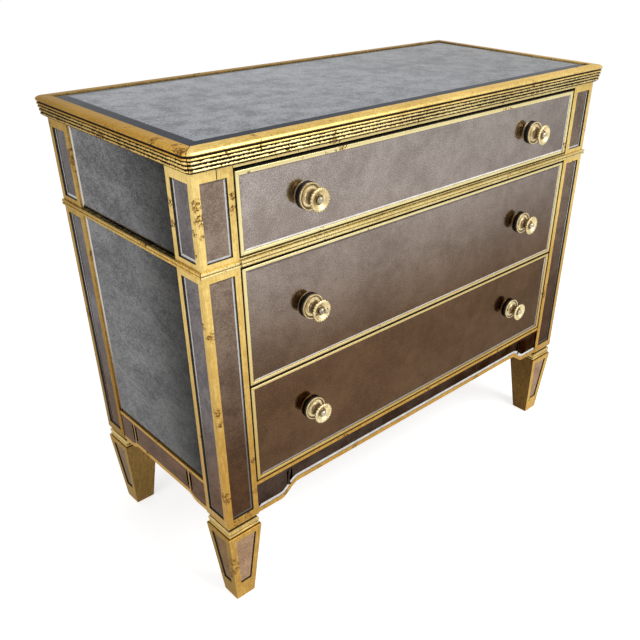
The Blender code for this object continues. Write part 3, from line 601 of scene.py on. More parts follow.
# Values that several finishes share
REEDED = {"relief": 0.15, "broken": 2.4}
SHADED = {"rear": REAR_PAINTED_SHADE, "glancing": GLANCING_DEEP}
RUBBED = {"rub": 0.80, "specks": 0.60, "lower_shade": STUDIO_WHITE}
FOOT_GLASS = {"cloud_size": 30.0, "marks": 0.40, "roughness": 0.14}
STRIP_GLASS = {"cloud_size": 20.0, "marks": 0.50, "roughness": 0.09}
BRIGHT = {"cloud_size": 60.0, "roughness": 0.22, "grain": 0.3, "glancing": 1.0}

LEAF_POST = gold_leaf("posts", GOLD_POST, rub=0.45, specks=0.45, spotted=True)
LEAF_MOULDING = gold_leaf("mouldings", GOLD_REED, rub=0.50, specks=0.75, **REEDED)
# Painted light and shade: the leaf of the sides, bright at the front and darkening towards the rear
LEAF_SHADE = gold_leaf("shaded_sides", GOLD_SHADE, rub=0.60, specks=0.65, **REEDED, **SHADED)
# Painted shade: darker leaf for the side and rear nosings, darkening towards the rear
LEAF_NOSING_SHADE = gold_leaf("side_nosings_painted_shade", GOLD_NOSING_SHADE, rub=0.60, specks=0.65, relief=0.15, **SHADED)
# Painted shade: darker leaf for the feet's faces turned to the sides
LEAF_FOOT_SIDE_SHADE = gold_leaf("foot_sides_painted_shade", GOLD_FOOT_SIDE_SHADE, spotted=True, glancing=GLANCING_DEEP, **RUBBED)
# Painted shade: dark leaf for the legs' faces turned in under the case
LEAF_INNER_SHADE = gold_leaf("inner_leg_faces_painted_shade", GOLD_INNER_SHADE, **RUBBED)
LEAF_FOOT = gold_leaf("feet", GOLD_FOOT, rub=0.70, specks=0.45, lower_shade=STUDIO_WHITE, spotted=True)
LEAF_BEAD = gold_leaf("foot_beads", GOLD_BEAD, rub=0.35, specks=0.35, lower_shade=STUDIO_WHITE, relief=0.15,
                      broken=0.6)
# Painted shade: very dark leaf for the necks of the feet
LEAF_NECK_SHADE = gold_leaf("foot_necks_painted_shade", GOLD_NECK_SHADE, **RUBBED)
LEAF_FRAME = gold_leaf("drawer_frames", GOLD_FRAME, rub=0.35, specks=0.40, relief=0.15)
# Each place's glass: the silver's tone with a painted reflection of what that place faced
GLASS_TOP = silvered("top", SILVER_TOP, cloud_size=30.0, marks=0.25, roughness=0.10, glancing=0.67,
                     fade=(TOP_PAINTED_REFLECTION, 0.46, -0.12, "X"), misty=0.80)
# Painted reflection: the side glass is darker towards the front
GLASS_SIDE = silvered("sides", SILVER_SIDE, cloud_size=15.0, marks=0.45, roughness=0.11,
                      stretch=(1, 0.6, 1.0), grain=0.45, fade=(SIDE_PAINTED_REFLECTION, -0.17, 0.08, "Y"))
# Painted reflection: the drawers' glass darkens towards the bottom
GLASS_DRAWER = silvered("drawers", SILVER_DRAWER, cloud_size=7.0, marks=0.20, roughness=0.07,
                        grain=0.55, fade=(DRAWER_PAINTED_REFLECTION, 0.40, 0.80))
GLASS_STRIP = silvered("strips", SILVER_STRIP, fade=(STRIP_PAINTED_REFLECTION, 0.25, 0.74), **STRIP_GLASS)
GLASS_STRIP_SIDE = silvered("side_strips", SILVER_STRIP_SIDE, fade=(SIDE_STRIP_PAINTED_REFLECTION, 0.20, 0.46),
                            **STRIP_GLASS)
GLASS_APRON = silvered("aprons", SILVER_APRON, cloud_size=24.0, marks=0.50, roughness=0.09, glancing=0.3)
GLASS_FOOT = silvered("feet", SILVER_FOOT, **FOOT_GLASS)
# Painted reflection: the glass in the legs' side faces is darker than in their fronts
GLASS_FOOT_SIDE_SHADE = silvered("foot_sides_painted_shade", SILVER_FOOT_SIDE_SHADE, **FOOT_GLASS)
# Painted highlights: pale, hardly metallic finishes for the rims of the glass
GLASS_RIM_SIDE_HIGHLIGHT = silvered("side_rims", SILVER_EDGE_SIDE_HIGHLIGHT, marks=0.60, fade=(RIM_PAINTED_SHADE, 0.30, 0.50),
                          metal=0.04, **BRIGHT)
GLASS_RIM_HIGHLIGHT = silvered("rims", SILVER_RIM_HIGHLIGHT, marks=0.30, fade=(RIM_PAINTED_SHADE, 0.32, 0.52), metal=0.08, **BRIGHT)
GLASS_EDGE_HIGHLIGHT = silvered("apron_edges", SILVER_EDGE_HIGHLIGHT, marks=0.60, metal=0.08, **BRIGHT)
GLASS_SLATE = silvered("top_rim", SLATE_RIM, cloud_size=30.0, marks=0.40, roughness=0.08, glancing=0.5)
KNOB_BRASS = cast_metal("knob_brass_worn", BRASS, TARNISH, roughness=0.36, tarnish=0.15, metal=0.85)
KNOB_NECK = cast_metal("knob_brass_tarnished", TARNISHED_BRASS, TARNISH, roughness=0.34, tarnish=0.40,
                       metal=0.8)
KNOB_PEARL = cast_metal("knob_pearl_silver", PEARL_SILVER, TARNISH, roughness=0.30, tarnish=0.30)
KNOB_WASHER = cast_metal("knob_washer_black", IRON_BLACK, SOOT_AND_SHADE, roughness=0.45, tarnish=0.30, metal=0.4)
# Painted shade: near-black for gaps, undersides and the walls of sunk fields; also the drawer frames' dark
# mitre joints
SHADE_AND_JOINT_DARK = cast_metal("dark_painted_shade_and_joints", SHADOW_BROWN, SOOT_AND_SHADE, roughness=0.70, tarnish=0.30, metal=0.0)
WOOD_CASE = wood("case_wood_dark", CASE_WOOD)
WOOD_DRAWER = wood("drawer_wood_pale", DRAWER_WOOD)
WOOD_DRAWER_SIDE = wood("drawer_wood_pale_sides", DRAWER_WOOD, (0, 0, math.pi / 2))

NODE_FINISHES = (
    (("post_", "apron_"), LEAF_POST), ("foot_", LEAF_FOOT),
    (("top_moulding_", "band_", "mid_rail"), LEAF_MOULDING),
    (("top_board", "side_panel_", "back_panel", "floor_board", "runner_"), WOOD_CASE),
    ("mirror_side_", GLASS_SIDE), ("mirror_post_", GLASS_STRIP), ("top_mirror", GLASS_TOP),
)
DRAWER_FINISHES = (("_box", WOOD_DRAWER), ("_front", LEAF_FRAME), ("_mirror", GLASS_DRAWER))


def finish_of(node):
    for start, finish in NODE_FINISHES:
        if node.startswith(start):
            return finish
    for end, finish in DRAWER_FINISHES:
        if node.endswith(end):
            return finish
    return KNOB_BRASS


for node_name, node_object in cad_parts.items():
    for holder in node_object.material_slots:
        holder.material = finish_of(node_name)


# Modelling helpers

def activate(piece):
    bpy.ops.object.select_all(action="DESELECT")
    piece.select_set(True)
    bpy.context.view_layer.objects.active = piece


def lay_out(piece, name):
    piece.name = name
    piece.data.name = name
    bpy.ops.object.transform_apply(location=True, rotation=True, scale=True)
    return piece


def new_object(name, data):
    made = bpy.data.objects.new(name, data)
    bpy.context.collection.objects.link(made)
    return made


def block(name, low, high):
    """Cube brought to its size and place, ready to be shaped."""
    low, high = Vector(low), Vector(high)
    bpy.ops.mesh.primitive_cube_add(size=1, location=(low + high) / 2, scale=high - low)
    return lay_out(bpy.context.object, name)


def edit(piece):
    activate(piece)
    bpy.ops.object.mode_set(mode="EDIT")


def done():
    bpy.ops.object.mode_set(mode="OBJECT")


def pick(piece, kind, wanted):
    """Selects the faces, edges or vertices of the piece in edit mode that are wanted."""
    bpy.ops.mesh.select_mode(type=kind)
    bpy.ops.mesh.select_all(action="DESELECT")
    shape = bmesh.from_edit_mesh(piece.data)
    for part in {"VERT": shape.verts, "EDGE": shape.edges, "FACE": shape.faces}[kind]:
        if wanted(part):
            part.select_set(True)
    shape.select_flush_mode()
    bmesh.update_edit_mesh(piece.data)


def pick_all():
    bpy.ops.mesh.select_all(action="SELECT")


def cut(place, way):
    """Cuts the whole edited mesh along a plane."""
    pick_all()
    bpy.ops.mesh.bisect(plane_co=place, plane_no=way)


def round_edges(piece, reach, segments, wanted=lambda edge: True):
    edit(piece)
    pick(piece, "EDGE", wanted)
    bpy.ops.mesh.bevel(offset=reach, segments=segments, affect="EDGES")
    done()


def smooth(piece):
    activate(piece)
    bpy.ops.object.shade_smooth_by_angle(angle=SMOOTH_ANGLE)


def paint(piece, *finishes):
    piece.data.materials.clear()
    for finish in finishes:
        piece.data.materials.append(finish)


def repaint(piece, finish, wanted):
    """Gives the wanted faces that still have the piece's own finish another one."""
    for face in piece.data.polygons:
        if face.material_index == OWN and wanted(face):
            face.material_index = finish


def mount(piece, body, slot, *nodes):
    """Rides on its body and stands for the CAD nodes; the slot is not used."""
    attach(piece, body)
    if nodes:
        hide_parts(*nodes)
    return piece


def copied(piece, name, shift):
    """Copy with its own mesh, moved within its mesh."""
    made = new_object(name, piece.data.copy())
    made.location = shift
    activate(made)
    return lay_out(made, name)


def rim_plate(piece, axis, side, rim, fall, finishes, ways=(1, 1)):
    """Raises the middle of the shown face, so that a bevelled rim runs round it.

    The ways say whether an upright edge and the lower edge of the rim take the second finish; on most plates
    it is a painted highlight on the bevel.
    """
    edit(piece)
    pick(piece, "FACE", lambda face: face.normal[axis] * side > SHOWN_FACING)
    bpy.ops.mesh.inset(thickness=rim, depth=fall, use_even_offset=True)
    done()
    paint(piece, *finishes)
    flat = max(face.normal[axis] * side for face in piece.data.polygons)
    along = 1 - axis if axis < 2 else 0

    # Rim facets leaning the given way, or every facet on a level plate, take the second finish: a painted
    # highlight on most plates
    def is_bright(face):
        lean = face.normal[along] * ways[0] - face.normal[2] * ways[1]
        on_rim = RIM_FACING < face.normal[axis] * side < flat - FLAT_STEP
        return on_rim and (lean > FLAT_STEP or axis == 2)

    repaint(piece, SECOND, is_bright)
    return piece


def mirror_plate(name, node, body, axis, side, rim, finishes, ways=(1, 1)):
    """Bevelled plate in the box of its CAD node."""
    low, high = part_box(node)
    shown = high if side > 0 else low
    shown[axis] -= side * RIM_FALL
    piece = rim_plate(block(name, low, high), axis, side, RIM[rim], RIM_FALL, finishes, ways)
    return mount(piece, body, "antique_mirror", node)


def turned(name, profile, centre):
    """Outline of (radius, outward) points drawn from the axis and spun about it."""
    profile = [(radius * MM, out * MM) for radius, out in profile]
    radius, out = profile[0]
    start = Vector((centre[0] + radius, centre[1] - out, centre[2]))
    bpy.ops.mesh.primitive_plane_add(size=SEED_SIZE, location=start)
    piece = lay_out(bpy.context.object, name)
    edit(piece)
    bpy.ops.mesh.select_mode(type="VERT")
    pick_all()
    bpy.ops.mesh.merge(type="CENTER")
    for (near, low), (far, high) in zip(profile, profile[1:]):
        step = (far - near, low - high, 0)
        bpy.ops.mesh.extrude_vertices_move(TRANSFORM_OT_translate={"value": step})
    pick_all()
    bpy.ops.mesh.spin(steps=KNOB_STEPS, angle=2 * math.pi, center=centre, axis=(0, 1, 0))
    pick_all()
    bpy.ops.mesh.remove_doubles(threshold=MERGE)
    bpy.ops.mesh.normals_make_consistent(inside=False)
    done()
    smooth(piece)
    return piece


# Glass plates

def add_glass():
    mirror_plate("glass_top", "top_mirror", "case", 2, 1, "top", (GLASS_TOP, GLASS_SLATE))
    for side, word in SIDES:
        for level in ("lower", "upper"):
            # Painted highlights on the rims: the side glass on its rear edge, the post glass on its lower
            # edge and on its rear or right edge
            plates = (
                ("side_%s_%s", 0, side, "side", (GLASS_SIDE, GLASS_RIM_SIDE_HIGHLIGHT), (1, 0)),
                ("post_front_%s_side_%s", 0, side, "post_side", (GLASS_STRIP_SIDE, GLASS_RIM_SIDE_HIGHLIGHT)),
                ("post_rear_%s_side_%s", 0, side, "post_side", (GLASS_STRIP_SIDE, GLASS_RIM_SIDE_HIGHLIGHT)),
                ("post_front_%s_face_%s", 1, -1, "post", (GLASS_STRIP, GLASS_RIM_HIGHLIGHT)),
            )
            for pattern, *plate in plates:
                place = pattern % (word, level)
                mirror_plate("glass_" + place, "mirror_" + place, "case", *plate)


def case_point(axis, along, out, height):
    """Point at a height, so far along the axis and out across it from the middle of the case."""
    place = Vector((0, CENTRE_Y, height))
    place[axis] += along
    place[1 - axis] += out
    return place


def leg_offset(height, taper):
    return LEG_OUT - (taper - LEG_EDGE + LEG_OUT) * (1 - height / LEG_HEIGHT)


def foot_glass(side, end, face):
    """Tapered glass let into one face of a leg."""
    # Painted reflection: the glass of a side face takes a darker tone than that of a front
    axis, out_half, along_half, inner, out_sign, along_sign, finish = (
        (0, HALF_X, HALF_Y, POST_INNER_Y, side, end, GLASS_FOOT_SIDE_SHADE) if face == "side"
        else (1, HALF_Y, HALF_X, POST_INNER_X, end, side, GLASS_FOOT))
    along_axis = 1 - axis
    corners = []
    for height in (LEG_GLASS_FOOT, LEG_GLASS_HEAD):
        out = leg_offset(height, LEG_OUTER_TAPER)
        outer_edge = along_half + out - LEG_OUTER_STRIP - FIT
        inner_edge = inner - leg_offset(height, LEG_INNER_TAPER) + LEG_INNER_STRIP + FIT
        corners.append((outer_edge, inner_edge, out_half + out - LEG_RECESS + FIT))
    foot, head = corners
    along = sorted((along_sign * head[0], along_sign * head[1]))
    depth = sorted((out_sign * head[2], out_sign * (head[2] + LEG_GLASS)))
    low = case_point(along_axis, along[0], depth[0], LEG_GLASS_FOOT + FIT)
    high = case_point(along_axis, along[1], depth[1], LEG_GLASS_HEAD - FIT)
    word = "%s_%s" % ("front" if end < 0 else "rear", "left" if side < 0 else "right")
    piece = block("glass_foot_%s_%s" % (word, face), low, high)
    middle = (low + high) / 2
    edit(piece)
    for number, sign in ((0, 1), (1, -1)):
        move = [0, 0, 0]
        move[along_axis] = along_sign * (foot[number] - head[number])
        move[axis] = out_sign * (foot[2] - head[2])
        pick(piece, "VERT", lambda vert: vert.co.z < middle.z
             and (vert.co[along_axis] - middle[along_axis]) * along_sign * sign > 0)
        bpy.ops.transform.translate(value=move)
    done()
    rim_plate(piece, axis, out_sign, RIM["foot"], FOOT_RIM_FALL, (finish, finish))
    return mount(piece, "case", "antique_mirror")


def apron_rise(shape, across):
    share = (shape["outer"] - abs(across)) / (shape["outer"] - shape["inner"])
    share = min(max(share, 0.0), 1.0)
    return shape["rise"] * share * share * (3 - 2 * share)


def apron_glass(name, axis, facing, shape, start, finish):
    """Glass between two joints; its lower edge follows the apron's curve."""
    face = (HALF_Y if axis == 0 else HALF_X) - APRON_SETBACK - APRON_FIELD + FIT
    depth = sorted((facing * face, facing * (face + APRON_GLASS)))
    bottom = APRON_END_BOTTOM + APRON_EDGING + FIT
    piece = block(name, case_point(axis, start, depth[0], bottom),
                  case_point(axis, finish, depth[1], APRON_TOP - APRON_RAIL - FIT))
    shift = CENTRE_Y if axis == 1 else 0
    shares = [number / CURVE_STEPS for number in range(CURVE_STEPS + 1)]
    curve = [shape["outer"] + (shape["inner"] - shape["outer"]) * share for share in shares]
    stations = [sign * across for sign in (-1, 1) for across in curve
                if start + FIT < sign * across < finish - FIT]
    way = Vector((1, 0, 0)) if axis == 0 else Vector((0, 1, 0))
    edit(piece)
    for across in stations:
        cut(way * (across + shift), way)
    for across in sorted(stations + [start, finish]):
        pick(piece, "VERT", lambda vert: abs(vert.co[axis] - shift - across) < SAME_PLACE
             and vert.co.z < bottom + FIT)
        bpy.ops.transform.translate(value=(0, 0, apron_rise(shape, across)))
    done()
    # Painted highlight: the front apron glass on the lower edge of its rim; the side apron glass has none
    field, ways = (GLASS_APRON, (0, 1)) if axis == 0 else (GLASS_STRIP_SIDE, (0, 0))
    rim_plate(piece, 1 - axis, facing, RIM["apron"], APRON_RIM_FALL, (field, GLASS_EDGE_HIGHLIGHT), ways)
    return mount(piece, "case", "antique_mirror")


def add_apron_glass():
    for label, axis, facing, kind, half_joint in (
            ("front", 0, -1, "front", GLASS_JOINT / 2),
            ("left", 1, -1, "side", MUNTIN_HALF + FIT),
            ("right", 1, 1, "side", MUNTIN_HALF + FIT)):
        shape = APRON_SHAPES[kind]
        end, joint = shape["end"], shape["joint"]
        lengths = ((-end, -joint - half_joint), (-joint + half_joint, joint - half_joint),
                   (joint + half_joint, end))
        for number, length in enumerate(lengths, 1):
            apron_glass("glass_apron_%s_%d" % (label, number), axis, facing, shape, *length)


# Drawers

def lies_in_front(edge, front, across):
    """Whether an edge of a bar runs along it on its front."""
    ends = [vert.co for vert in edge.verts]
    return all(end.y < front + FIT for end in ends) and abs(ends[0][across] - ends[1][across]) < FIT


def frame_bar(name, low, high, axis, inward, mitres):
    """One mitred length of a drawer's frame; its outer side is dark as a painted shade, so that the gap
    round the drawer reads dark, and its mitre joints are dark.
    """
    piece = block(name, low, high)
    across = 2 if axis == 0 else 0
    middle = (Vector(low) + Vector(high)) / 2
    edit(piece)
    for sign, mitre in zip((-1, 1), mitres):
        move = [0, 0, 0]
        move[axis] = -sign * mitre
        pick(piece, "VERT", lambda vert: (vert.co[across] - middle[across]) * inward > 0
             and (vert.co[axis] - middle[axis]) * sign > 0)
        bpy.ops.transform.translate(value=move)
    done()
    round_edges(piece, FRAME_ROUND, 4, lambda edge: lies_in_front(edge, low[1], across))
    smooth(piece)
    paint(piece, LEAF_FRAME, SHADE_AND_JOINT_DARK)
    # Painted shade on the outer side; the mitre faces are the dark joints
    repaint(piece, SECOND, lambda face: face.normal[across] * inward < -DARK_FACING
            or abs(face.normal[axis]) > MITRE_FACING)
    return piece


def add_drawer(label):
    body = "drawer_%s" % label
    head = FRAME_HEAD if label == "top" else FRAME_RAIL
    low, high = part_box(body + "_front")
    rear = low.y + FRAME_SUNK
    board = block(body + "_board", (low.x, rear, low.z), high)
    round_edges(board, FIT, 2)
    # Painted shade: all but the front of the board take the dark finish, so that the gaps round the drawer
    # read dark
    paint(board, WOOD_CASE, SHADE_AND_JOINT_DARK)
    repaint(board, SECOND, lambda face: face.normal.y < FACING)
    mount(board, body, "gold_frame", body + "_front")
    left, right = low.x + MITRE_GAP, high.x - MITRE_GAP
    bottom, top = low.z + MITRE_GAP, high.z - MITRE_GAP
    level = (FRAME_STILE, FRAME_STILE)
    upright = (FRAME_RAIL, head)
    bars = (
        ("lower", (left, low.y, low.z), (right, rear, low.z + FRAME_RAIL), 0, 1, level),
        ("upper", (left, low.y, high.z - head), (right, rear, high.z), 0, -1, level),
        ("left", (low.x, low.y, bottom), (low.x + FRAME_STILE, rear, top), 2, 1, upright),
        ("right", (high.x - FRAME_STILE, low.y, bottom), (high.x, rear, top), 2, -1, upright),
    )
    for word, *bar in bars:
        mount(frame_bar("%s_frame_%s" % (body, word), *bar), body, "gold_frame")
    # Painted highlight on the right and lower edges of the glass's rim
    mirror_plate(body + "_glass", body + "_mirror", body, 1, -1, body, (GLASS_DRAWER, GLASS_RIM_HIGHLIGHT))


def add_box(label):
    """Tray of five boards with the grain along each; its floor lies between the sides."""
    body = "drawer_%s" % label
    low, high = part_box(body + "_box")
    near_x, far_x, floor = low.x + BOX_WALL, high.x - BOX_WALL, low.z + BOX_FLOOR
    boards = (
        ("side_left", low, (near_x, high.y, high.z), WOOD_DRAWER_SIDE),
        ("side_right", (far_x, low.y, low.z), high, WOOD_DRAWER_SIDE),
        ("inner_front", (near_x, low.y, floor), (far_x, low.y + BOX_WALL, high.z), WOOD_DRAWER),
        ("back", (near_x, high.y - BOX_WALL, floor), (far_x, high.y, high.z), WOOD_DRAWER),
        ("floor", (near_x, low.y, low.z), (far_x, high.y, floor), WOOD_DRAWER),
    )
    for word, *corners, finish in boards:
        board = block("%s_box_%s" % (body, word), *corners)
        round_edges(board, BOARD_EDGE, 2)
        paint(board, finish)
        mount(board, body, "drawer_wood", *([body + "_box"] if word == "floor" else []))


def gold_strip(name, bottom, top):
    """Plain strip between the posts, in line with their front, its two front edges rounded."""
    front = CENTRE_Y - HALF_Y
    strip = block(name, (-POST_INNER_X + FIT, front, bottom),
                  (POST_INNER_X - FIT, front + HEAD_RAIL_DEPTH, top))
    round_edges(strip, STRIP_ROUND, 3, lambda edge: lies_in_front(edge, front, 2))
    smooth(strip)
    # Painted shade on the strip's underside
    paint(strip, LEAF_MOULDING, SHADE_AND_JOINT_DARK)
    repaint(strip, SECOND, lambda face: face.normal.z < -DARK_FACING)
    mount(strip, "case", "gold_frame")


def add_strips():
    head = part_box("post_front_left")[1].z
    gold_strip("head_rail", head - HEAD_RAIL_HEIGHT, head - FIT)
    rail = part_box("mid_rail")[1].z
    gold_strip("mid_rail_lip", rail + FIT, rail + RAIL_LIP_HEIGHT)


def knob_centre(node):
    """Where the knob's axis meets its seat on the drawer front."""
    low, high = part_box(node)
    return (low.x + high.x) / 2, low.y + KNOB_REACH, (low.z + high.z) / 2


def from_centre(place, centre):
    """How far a point lies from the knob's axis and out from its seat."""
    return math.hypot(place.x - centre[0], place.z - centre[2]), centre[1] - place.y


def in_notch(place, centre):
    spread, out = from_centre(place, centre)
    turn = (math.atan2(place.z - centre[2], place.x - centre[0]) * SCALLOPS / (2 * math.pi)) % 1.0
    return spread > NOTCH_INNER and out > NOTCH_BACK and (turn < NOTCH_SHARE or turn > 1 - NOTCH_SHARE)


def scallop(piece, centre):
    """Draws in every third stretch of the button's rim."""
    edit(piece)
    pick(piece, "VERT", lambda vert: in_notch(vert.co, centre))
    bpy.ops.transform.resize(value=(SCALLOP_DEPTH, 1, SCALLOP_DEPTH), center_override=centre)
    done()


def is_tarnished(place, word, centre):
    """At the back of the button, round the boss and in the groove of the flange."""
    spread, out = from_centre(place, centre)
    if word == "button":
        return out < BUTTON_BACK
    return word == "flange" and (spread < FLANGE_BOSS or FLANGE_GROOVE[0] < spread < FLANGE_GROOVE[1])


def add_knobs():
    centre = knob_centre("drawer_top_knob_left")
    patterns = []
    for word, profile, finish in (("washer", WASHER, KNOB_WASHER), ("flange", FLANGE, KNOB_BRASS),
                                  ("button", BUTTON, KNOB_BRASS), ("ring", BUTTON_RING, KNOB_NECK),
                                  ("pearl", PEARL, KNOB_PEARL)):
        piece = turned("knob_pattern_" + word, profile, centre)
        if word == "button":
            scallop(piece, centre)
        paint(piece, finish, KNOB_NECK)
        repaint(piece, SECOND, lambda face: is_tarnished(face.center, word, centre))
        patterns.append((word, piece))
    for label in DRAWERS:
        for _, side in SIDES:
            node = "drawer_%s_knob_%s" % (label, side)
            shift = Vector(knob_centre(node)) - Vector(centre)
            for word, pattern in patterns:
                piece = copied(pattern, "%s_%s" % (node, word), shift)
                mount(piece, "drawer_" + label, "knob_brass", *([node] if word == "flange" else []))
    for _, pattern in patterns:
        bpy.data.objects.remove(pattern)


# Carried mouldings, smoothed

# The first of these is the near-black painted shade of gaps, undersides and sunk fields
CARVED_FINISHES = (SHADE_AND_JOINT_DARK, LEAF_BEAD, LEAF_SHADE, LEAF_NECK_SHADE, LEAF_INNER_SHADE, LEAF_POST,
                   LEAF_FOOT_SIDE_SHADE, LEAF_NOSING_SHADE)
PAINTED_SHADE_DARK, BEAD, SHADE, NECK_SHADE, INNER_SHADE, POST, FOOT_SIDE_SHADE, NOSING_SHADE = range(1, 9)


def write_hollows(piece, marks):
    piece.data.attributes.new("hollow", "FLOAT", "POINT").data.foreach_set("value", marks)


def signed_mesh(piece):
    """The piece's mesh with its normals, so that the bend at each edge can be read."""
    shape = bmesh.new()
    shape.from_mesh(piece.data)
    shape.normal_update()
    return shape


def mark_hollows(piece, above, spread=0.0, dark_bands=()):
    """Keeps in the mesh where its surface is hollow, for the dirt and the painted shade in the grooves."""
    shape = signed_mesh(piece)
    grooved = set()
    for vert in shape.verts:
        low = any(edge.calc_face_angle_signed(0) < HOLLOW_BEND for edge in vert.link_edges)
        low = low or any(start < vert.co.z < end for start, end in dark_bands)
        if low and vert.co.z > above:
            grooved.add(vert.index)
    marks = []
    for vert in shape.verts:
        beside = any(edge.other_vert(vert).index in grooved for edge in vert.link_edges)
        marks.append(1.0 if vert.index in grooved else spread if beside else 0.0)
    shape.free()
    write_hollows(piece, marks)


def paint_wall_shade(piece, below=math.inf):
    """Gives the walls and floors of the sunk fields the dark finish, a painted shade."""
    shape = signed_mesh(piece)
    dark = set()
    for edge in shape.edges:
        if edge.calc_face_angle_signed(0) < WALL_BEND and max(vert.co.z for vert in edge.verts) < below:
            dark.update(face.index for face in edge.link_faces)
    shape.free()
    for number in dark:
        piece.data.polygons[number].material_index = PAINTED_SHADE_DARK


def smoothed_copy(node):
    """The CAD node's loose triangles merged and its curves shaded smooth."""
    piece = new_object(node + "_carved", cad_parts[node].data.copy())
    piece.data.name = piece.name
    edit(piece)
    pick_all()
    bpy.ops.mesh.remove_doubles(threshold=MERGE)
    bpy.ops.mesh.tris_convert_to_quads()
    done()
    if piece.data.has_custom_normals:
        bpy.ops.mesh.customdata_custom_splitnormals_clear()
    smooth(piece)
    paint(piece, finish_of(node), *CARVED_FINISHES)
    return mount(piece, "case", "gold_frame", node)


def mitre_line(piece, side, end):
    """Cuts the mesh on both sides of the mitre, so that its dark joint stays a thin line."""
    way = Vector((side, -end, 0))
    corner = Vector((side * HALF_X, end * HALF_Y + CENTRE_Y, 0))
    edit(piece)
    for shift in (-MITRE_DARK, MITRE_DARK):
        cut(corner + way * shift, way)
    done()


def mark_mitres(piece):
    """Marks the joint of each mitre as hollow, where the mesh was cut for it."""
    values = piece.data.attributes["hollow"].data
    for number, vert in enumerate(piece.data.vertices):
        across, along = abs(vert.co.x) - HALF_X, abs(vert.co.y - CENTRE_Y) - HALF_Y
        if abs(across - along) < MITRE_DARK / 2 and across > -LIP and along > -LIP:
            values[number].value = 1.0


def joint_line(piece):
    """The upright hairline joint in the strip over the post's front glass."""
    edit(piece)
    for shift in (-JOINT_HALF, 0, JOINT_HALF):
        cut((JOINT_X + shift, 0, 0), (1, 0, 0))
    done()
    glass_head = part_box("mirror_post_front_left_face_upper")[1].z - JOINT_HALF
    write_hollows(piece, [
        1.0 if abs(vert.co.x - JOINT_X) < JOINT_HALF / 2 and vert.co.z > glass_head else 0.0
        for vert in piece.data.vertices])


def add_top_mouldings():
    for word, corners in MITRES.items():
        piece = smoothed_copy("top_moulding_" + word)
        for side, end in corners:
            mitre_line(piece, side, end)
        mark_hollows(piece, 0, TOP_REED_SPREAD)
        mark_mitres(piece)
        # Painted shade: the side and rear mouldings' flat tops and nosings take a darker leaf
        flat, top = (SHADE, POST) if word == "front" else (NOSING_SHADE, NOSING_SHADE)
        # Painted light and shade: the front moulding's flat top and side faces, and the rest of the other
        # mouldings, take the shaded leaf
        repaint(piece, flat, lambda face: face.normal.z > DARK_FACING)
        repaint(piece, top, lambda face: face.center.z > NOSING_BOTTOM)
        repaint(piece, SHADE, lambda face: word != "front" or abs(face.normal.x) > MITRE_FACING)


def add_bands():
    for side, word in SIDES:
        piece = smoothed_copy("band_" + word)
        mitre_line(piece, side, -1)
        mark_hollows(piece, 0, BAND_REED_SPREAD, RAIL_EDGES)
        mark_mitres(piece)
        # Painted shade: the bands' faces turned to the sides take the shaded leaf
        repaint(piece, SHADE, lambda face: abs(face.normal.x) > MITRE_FACING)
    rail = smoothed_copy("mid_rail")
    mark_hollows(rail, 0, BAND_REED_SPREAD, RAIL_EDGES)
    # Painted shade on the rail's underside
    repaint(rail, PAINTED_SHADE_DARK, lambda face: face.normal.z < -DARK_FACING)


def add_leg(near, end, side, word):
    foot = smoothed_copy("foot_%s_%s" % (end, word))
    mark_hollows(foot, LEG_HEIGHT - FIT)
    # Painted shade in the leg's sunk fields
    paint_wall_shade(foot, LEG_HEIGHT - FIT)
    # Painted shade: the neck above the bead takes a very dark leaf
    repaint(foot, NECK_SHADE, lambda face: face.center.z > NECK_FOOT)
    repaint(foot, BEAD, lambda face: face.center.z > LEG_HEIGHT)
    # Painted shade: the feet's faces turned in across the case take the neck's dark leaf
    repaint(foot, NECK_SHADE, lambda face: face.normal.x * side < -FACING)
    # Painted shade: the feet's faces turned in along the case take a dark leaf
    repaint(foot, INNER_SHADE, lambda face: face.normal.y * near < -FACING)
    # Painted shade: the feet's faces turned to the sides take a darker leaf
    repaint(foot, FOOT_SIDE_SHADE, lambda face: abs(face.normal.x) > FACING)
    post = smoothed_copy("post_%s_%s" % (end, word))
    # Painted shade in the post's sunk fields
    paint_wall_shade(post)
    # Painted shade: the post's faces towards the drawers take the dark finish, so that the gaps read dark
    repaint(post, PAINTED_SHADE_DARK, lambda face: face.normal.x * side < -DARK_FACING)
    # Painted shade: the rear posts take the shaded leaf
    repaint(post, SHADE, lambda face: end == "rear")
    if (end, word) == ("front", "left"):
        joint_line(post)


def add_carved():
    add_top_mouldings()
    add_bands()
    for near, end in ENDS:
        for side, word in SIDES:
            add_leg(near, end, side, word)
    # The aprons, with painted shade in their sunk fields
    for word in ("front", "left", "right"):
        paint_wall_shade(smoothed_copy("apron_" + word))


# Studio

def add_camera():
    camera = bpy.data.cameras.new("photo_camera")
    camera.sensor_width = SENSOR
    camera.lens = FOCAL_PIXELS / FRAME_PIXELS * SENSOR
    camera.shift_x = -(FRAME_MIDDLE[0] - FRAME_PIXELS / 2) / FRAME_PIXELS
    camera.shift_y = (FRAME_MIDDLE[1] - FRAME_PIXELS / 2) / FRAME_PIXELS
    holder = new_object("photo_camera", camera)
    turn, lift, roll = CAMERA_AZIMUTH, CAMERA_ELEVATION, CAMERA_ROLL
    back = Vector((math.sin(turn) * math.cos(lift), -math.cos(turn) * math.cos(lift), math.sin(lift)))
    right = Vector((math.cos(turn), math.sin(turn), 0))
    up = back.cross(right)
    rolled_right = math.cos(roll) * right + math.sin(roll) * up
    rolled_up = -math.sin(roll) * right + math.cos(roll) * up
    axes = Matrix((rolled_right, rolled_up, back)).transposed()
    holder.matrix_world = Matrix.Translation(CAMERA_PLACE) @ axes.to_4x4()
    bpy.context.scene.camera = holder


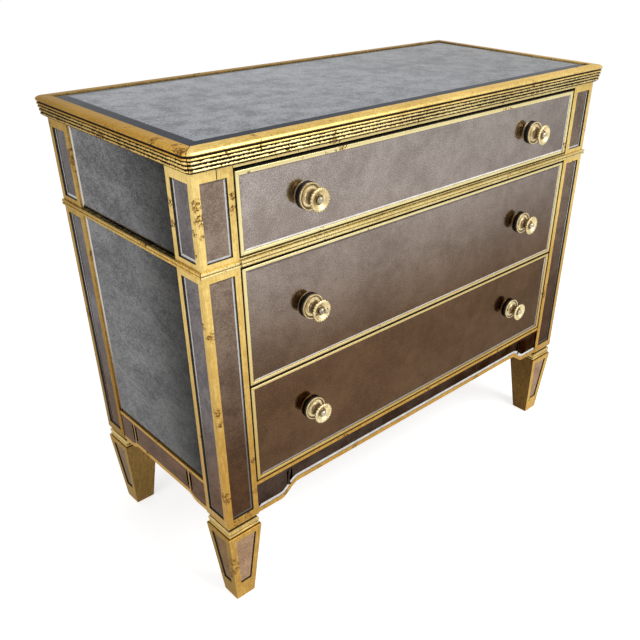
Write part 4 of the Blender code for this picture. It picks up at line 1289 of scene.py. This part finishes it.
def add_lamp(name, place, size, power):
    lamp = bpy.data.lights.new(name, "AREA")
    lamp.shape = "SQUARE"
    lamp.size = size
    lamp.energy = power
    holder = new_object(name, lamp)
    holder.location = place
    way = Vector(LAMP_TARGET) - Vector(place)
    holder.rotation_euler = way.to_track_quat("-Z", "Y").to_euler()


def seen_rays(tree):
    """1 for rays of the camera and for those that a mirror or glass sends on."""
    path = tree.nodes.new("ShaderNodeLightPath").outputs
    seen = calc(tree, "MAXIMUM", path["Is Camera Ray"], path["Is Glossy Ray"])
    return calc(tree, "MAXIMUM", seen, path["Is Transmission Ray"])


def add_floor():
    """Pale floor; seen by the camera or in a mirror it has the background's white, with its shadow kept."""
    bpy.ops.mesh.primitive_plane_add(size=FLOOR_SIZE)
    floor = bpy.context.object
    floor.name = "studio_floor"
    made, tree, shader = new_material("studio_floor_pale")
    shader["Base Color"].default_value = opaque(FLOOR_PALE)
    shader["Roughness"].default_value = 1.0
    shader["Specular IOR Level"].default_value = 0.0
    shader["Emission Color"].default_value = opaque(STUDIO_WHITE)
    feed(tree, shader["Emission Strength"], ramp(tree, seen_rays(tree), 0.0, FLOOR_LIFT))
    floor.data.materials.append(made)


def add_world():
    world = bpy.data.worlds.new("studio_world")
    world.use_nodes = True
    tree = world.node_tree
    tree.nodes.clear()
    background = tree.nodes.new("ShaderNodeBackground")
    background.inputs["Color"].default_value = opaque(STUDIO_WHITE)
    feed(tree, background.inputs["Strength"], ramp(tree, seen_rays(tree), WORLD_LIGHT, 1.0))
    output = tree.nodes.new("ShaderNodeOutputWorld")
    tree.links.new(background.outputs["Background"], output.inputs["Surface"])
    bpy.context.scene.world = world


add_carved()
add_glass()
for foot_side, _ in SIDES:
    foot_glass(foot_side, -1, "side")
    foot_glass(foot_side, -1, "front")
    foot_glass(foot_side, 1, "side")
add_apron_glass()
add_strips()
for drawer in DRAWERS:
    add_drawer(drawer)
    add_box(drawer)
add_knobs()

add_camera()
add_floor()
add_world()
add_lamp("key_lamp", place=(0.5, -1.9, 2.3), size=1.7, power=54)
add_lamp("side_lamp", place=(-2.6, -0.4, 1.7), size=1.6, power=16)
bpy.context.scene.view_settings.view_transform = "Standard"
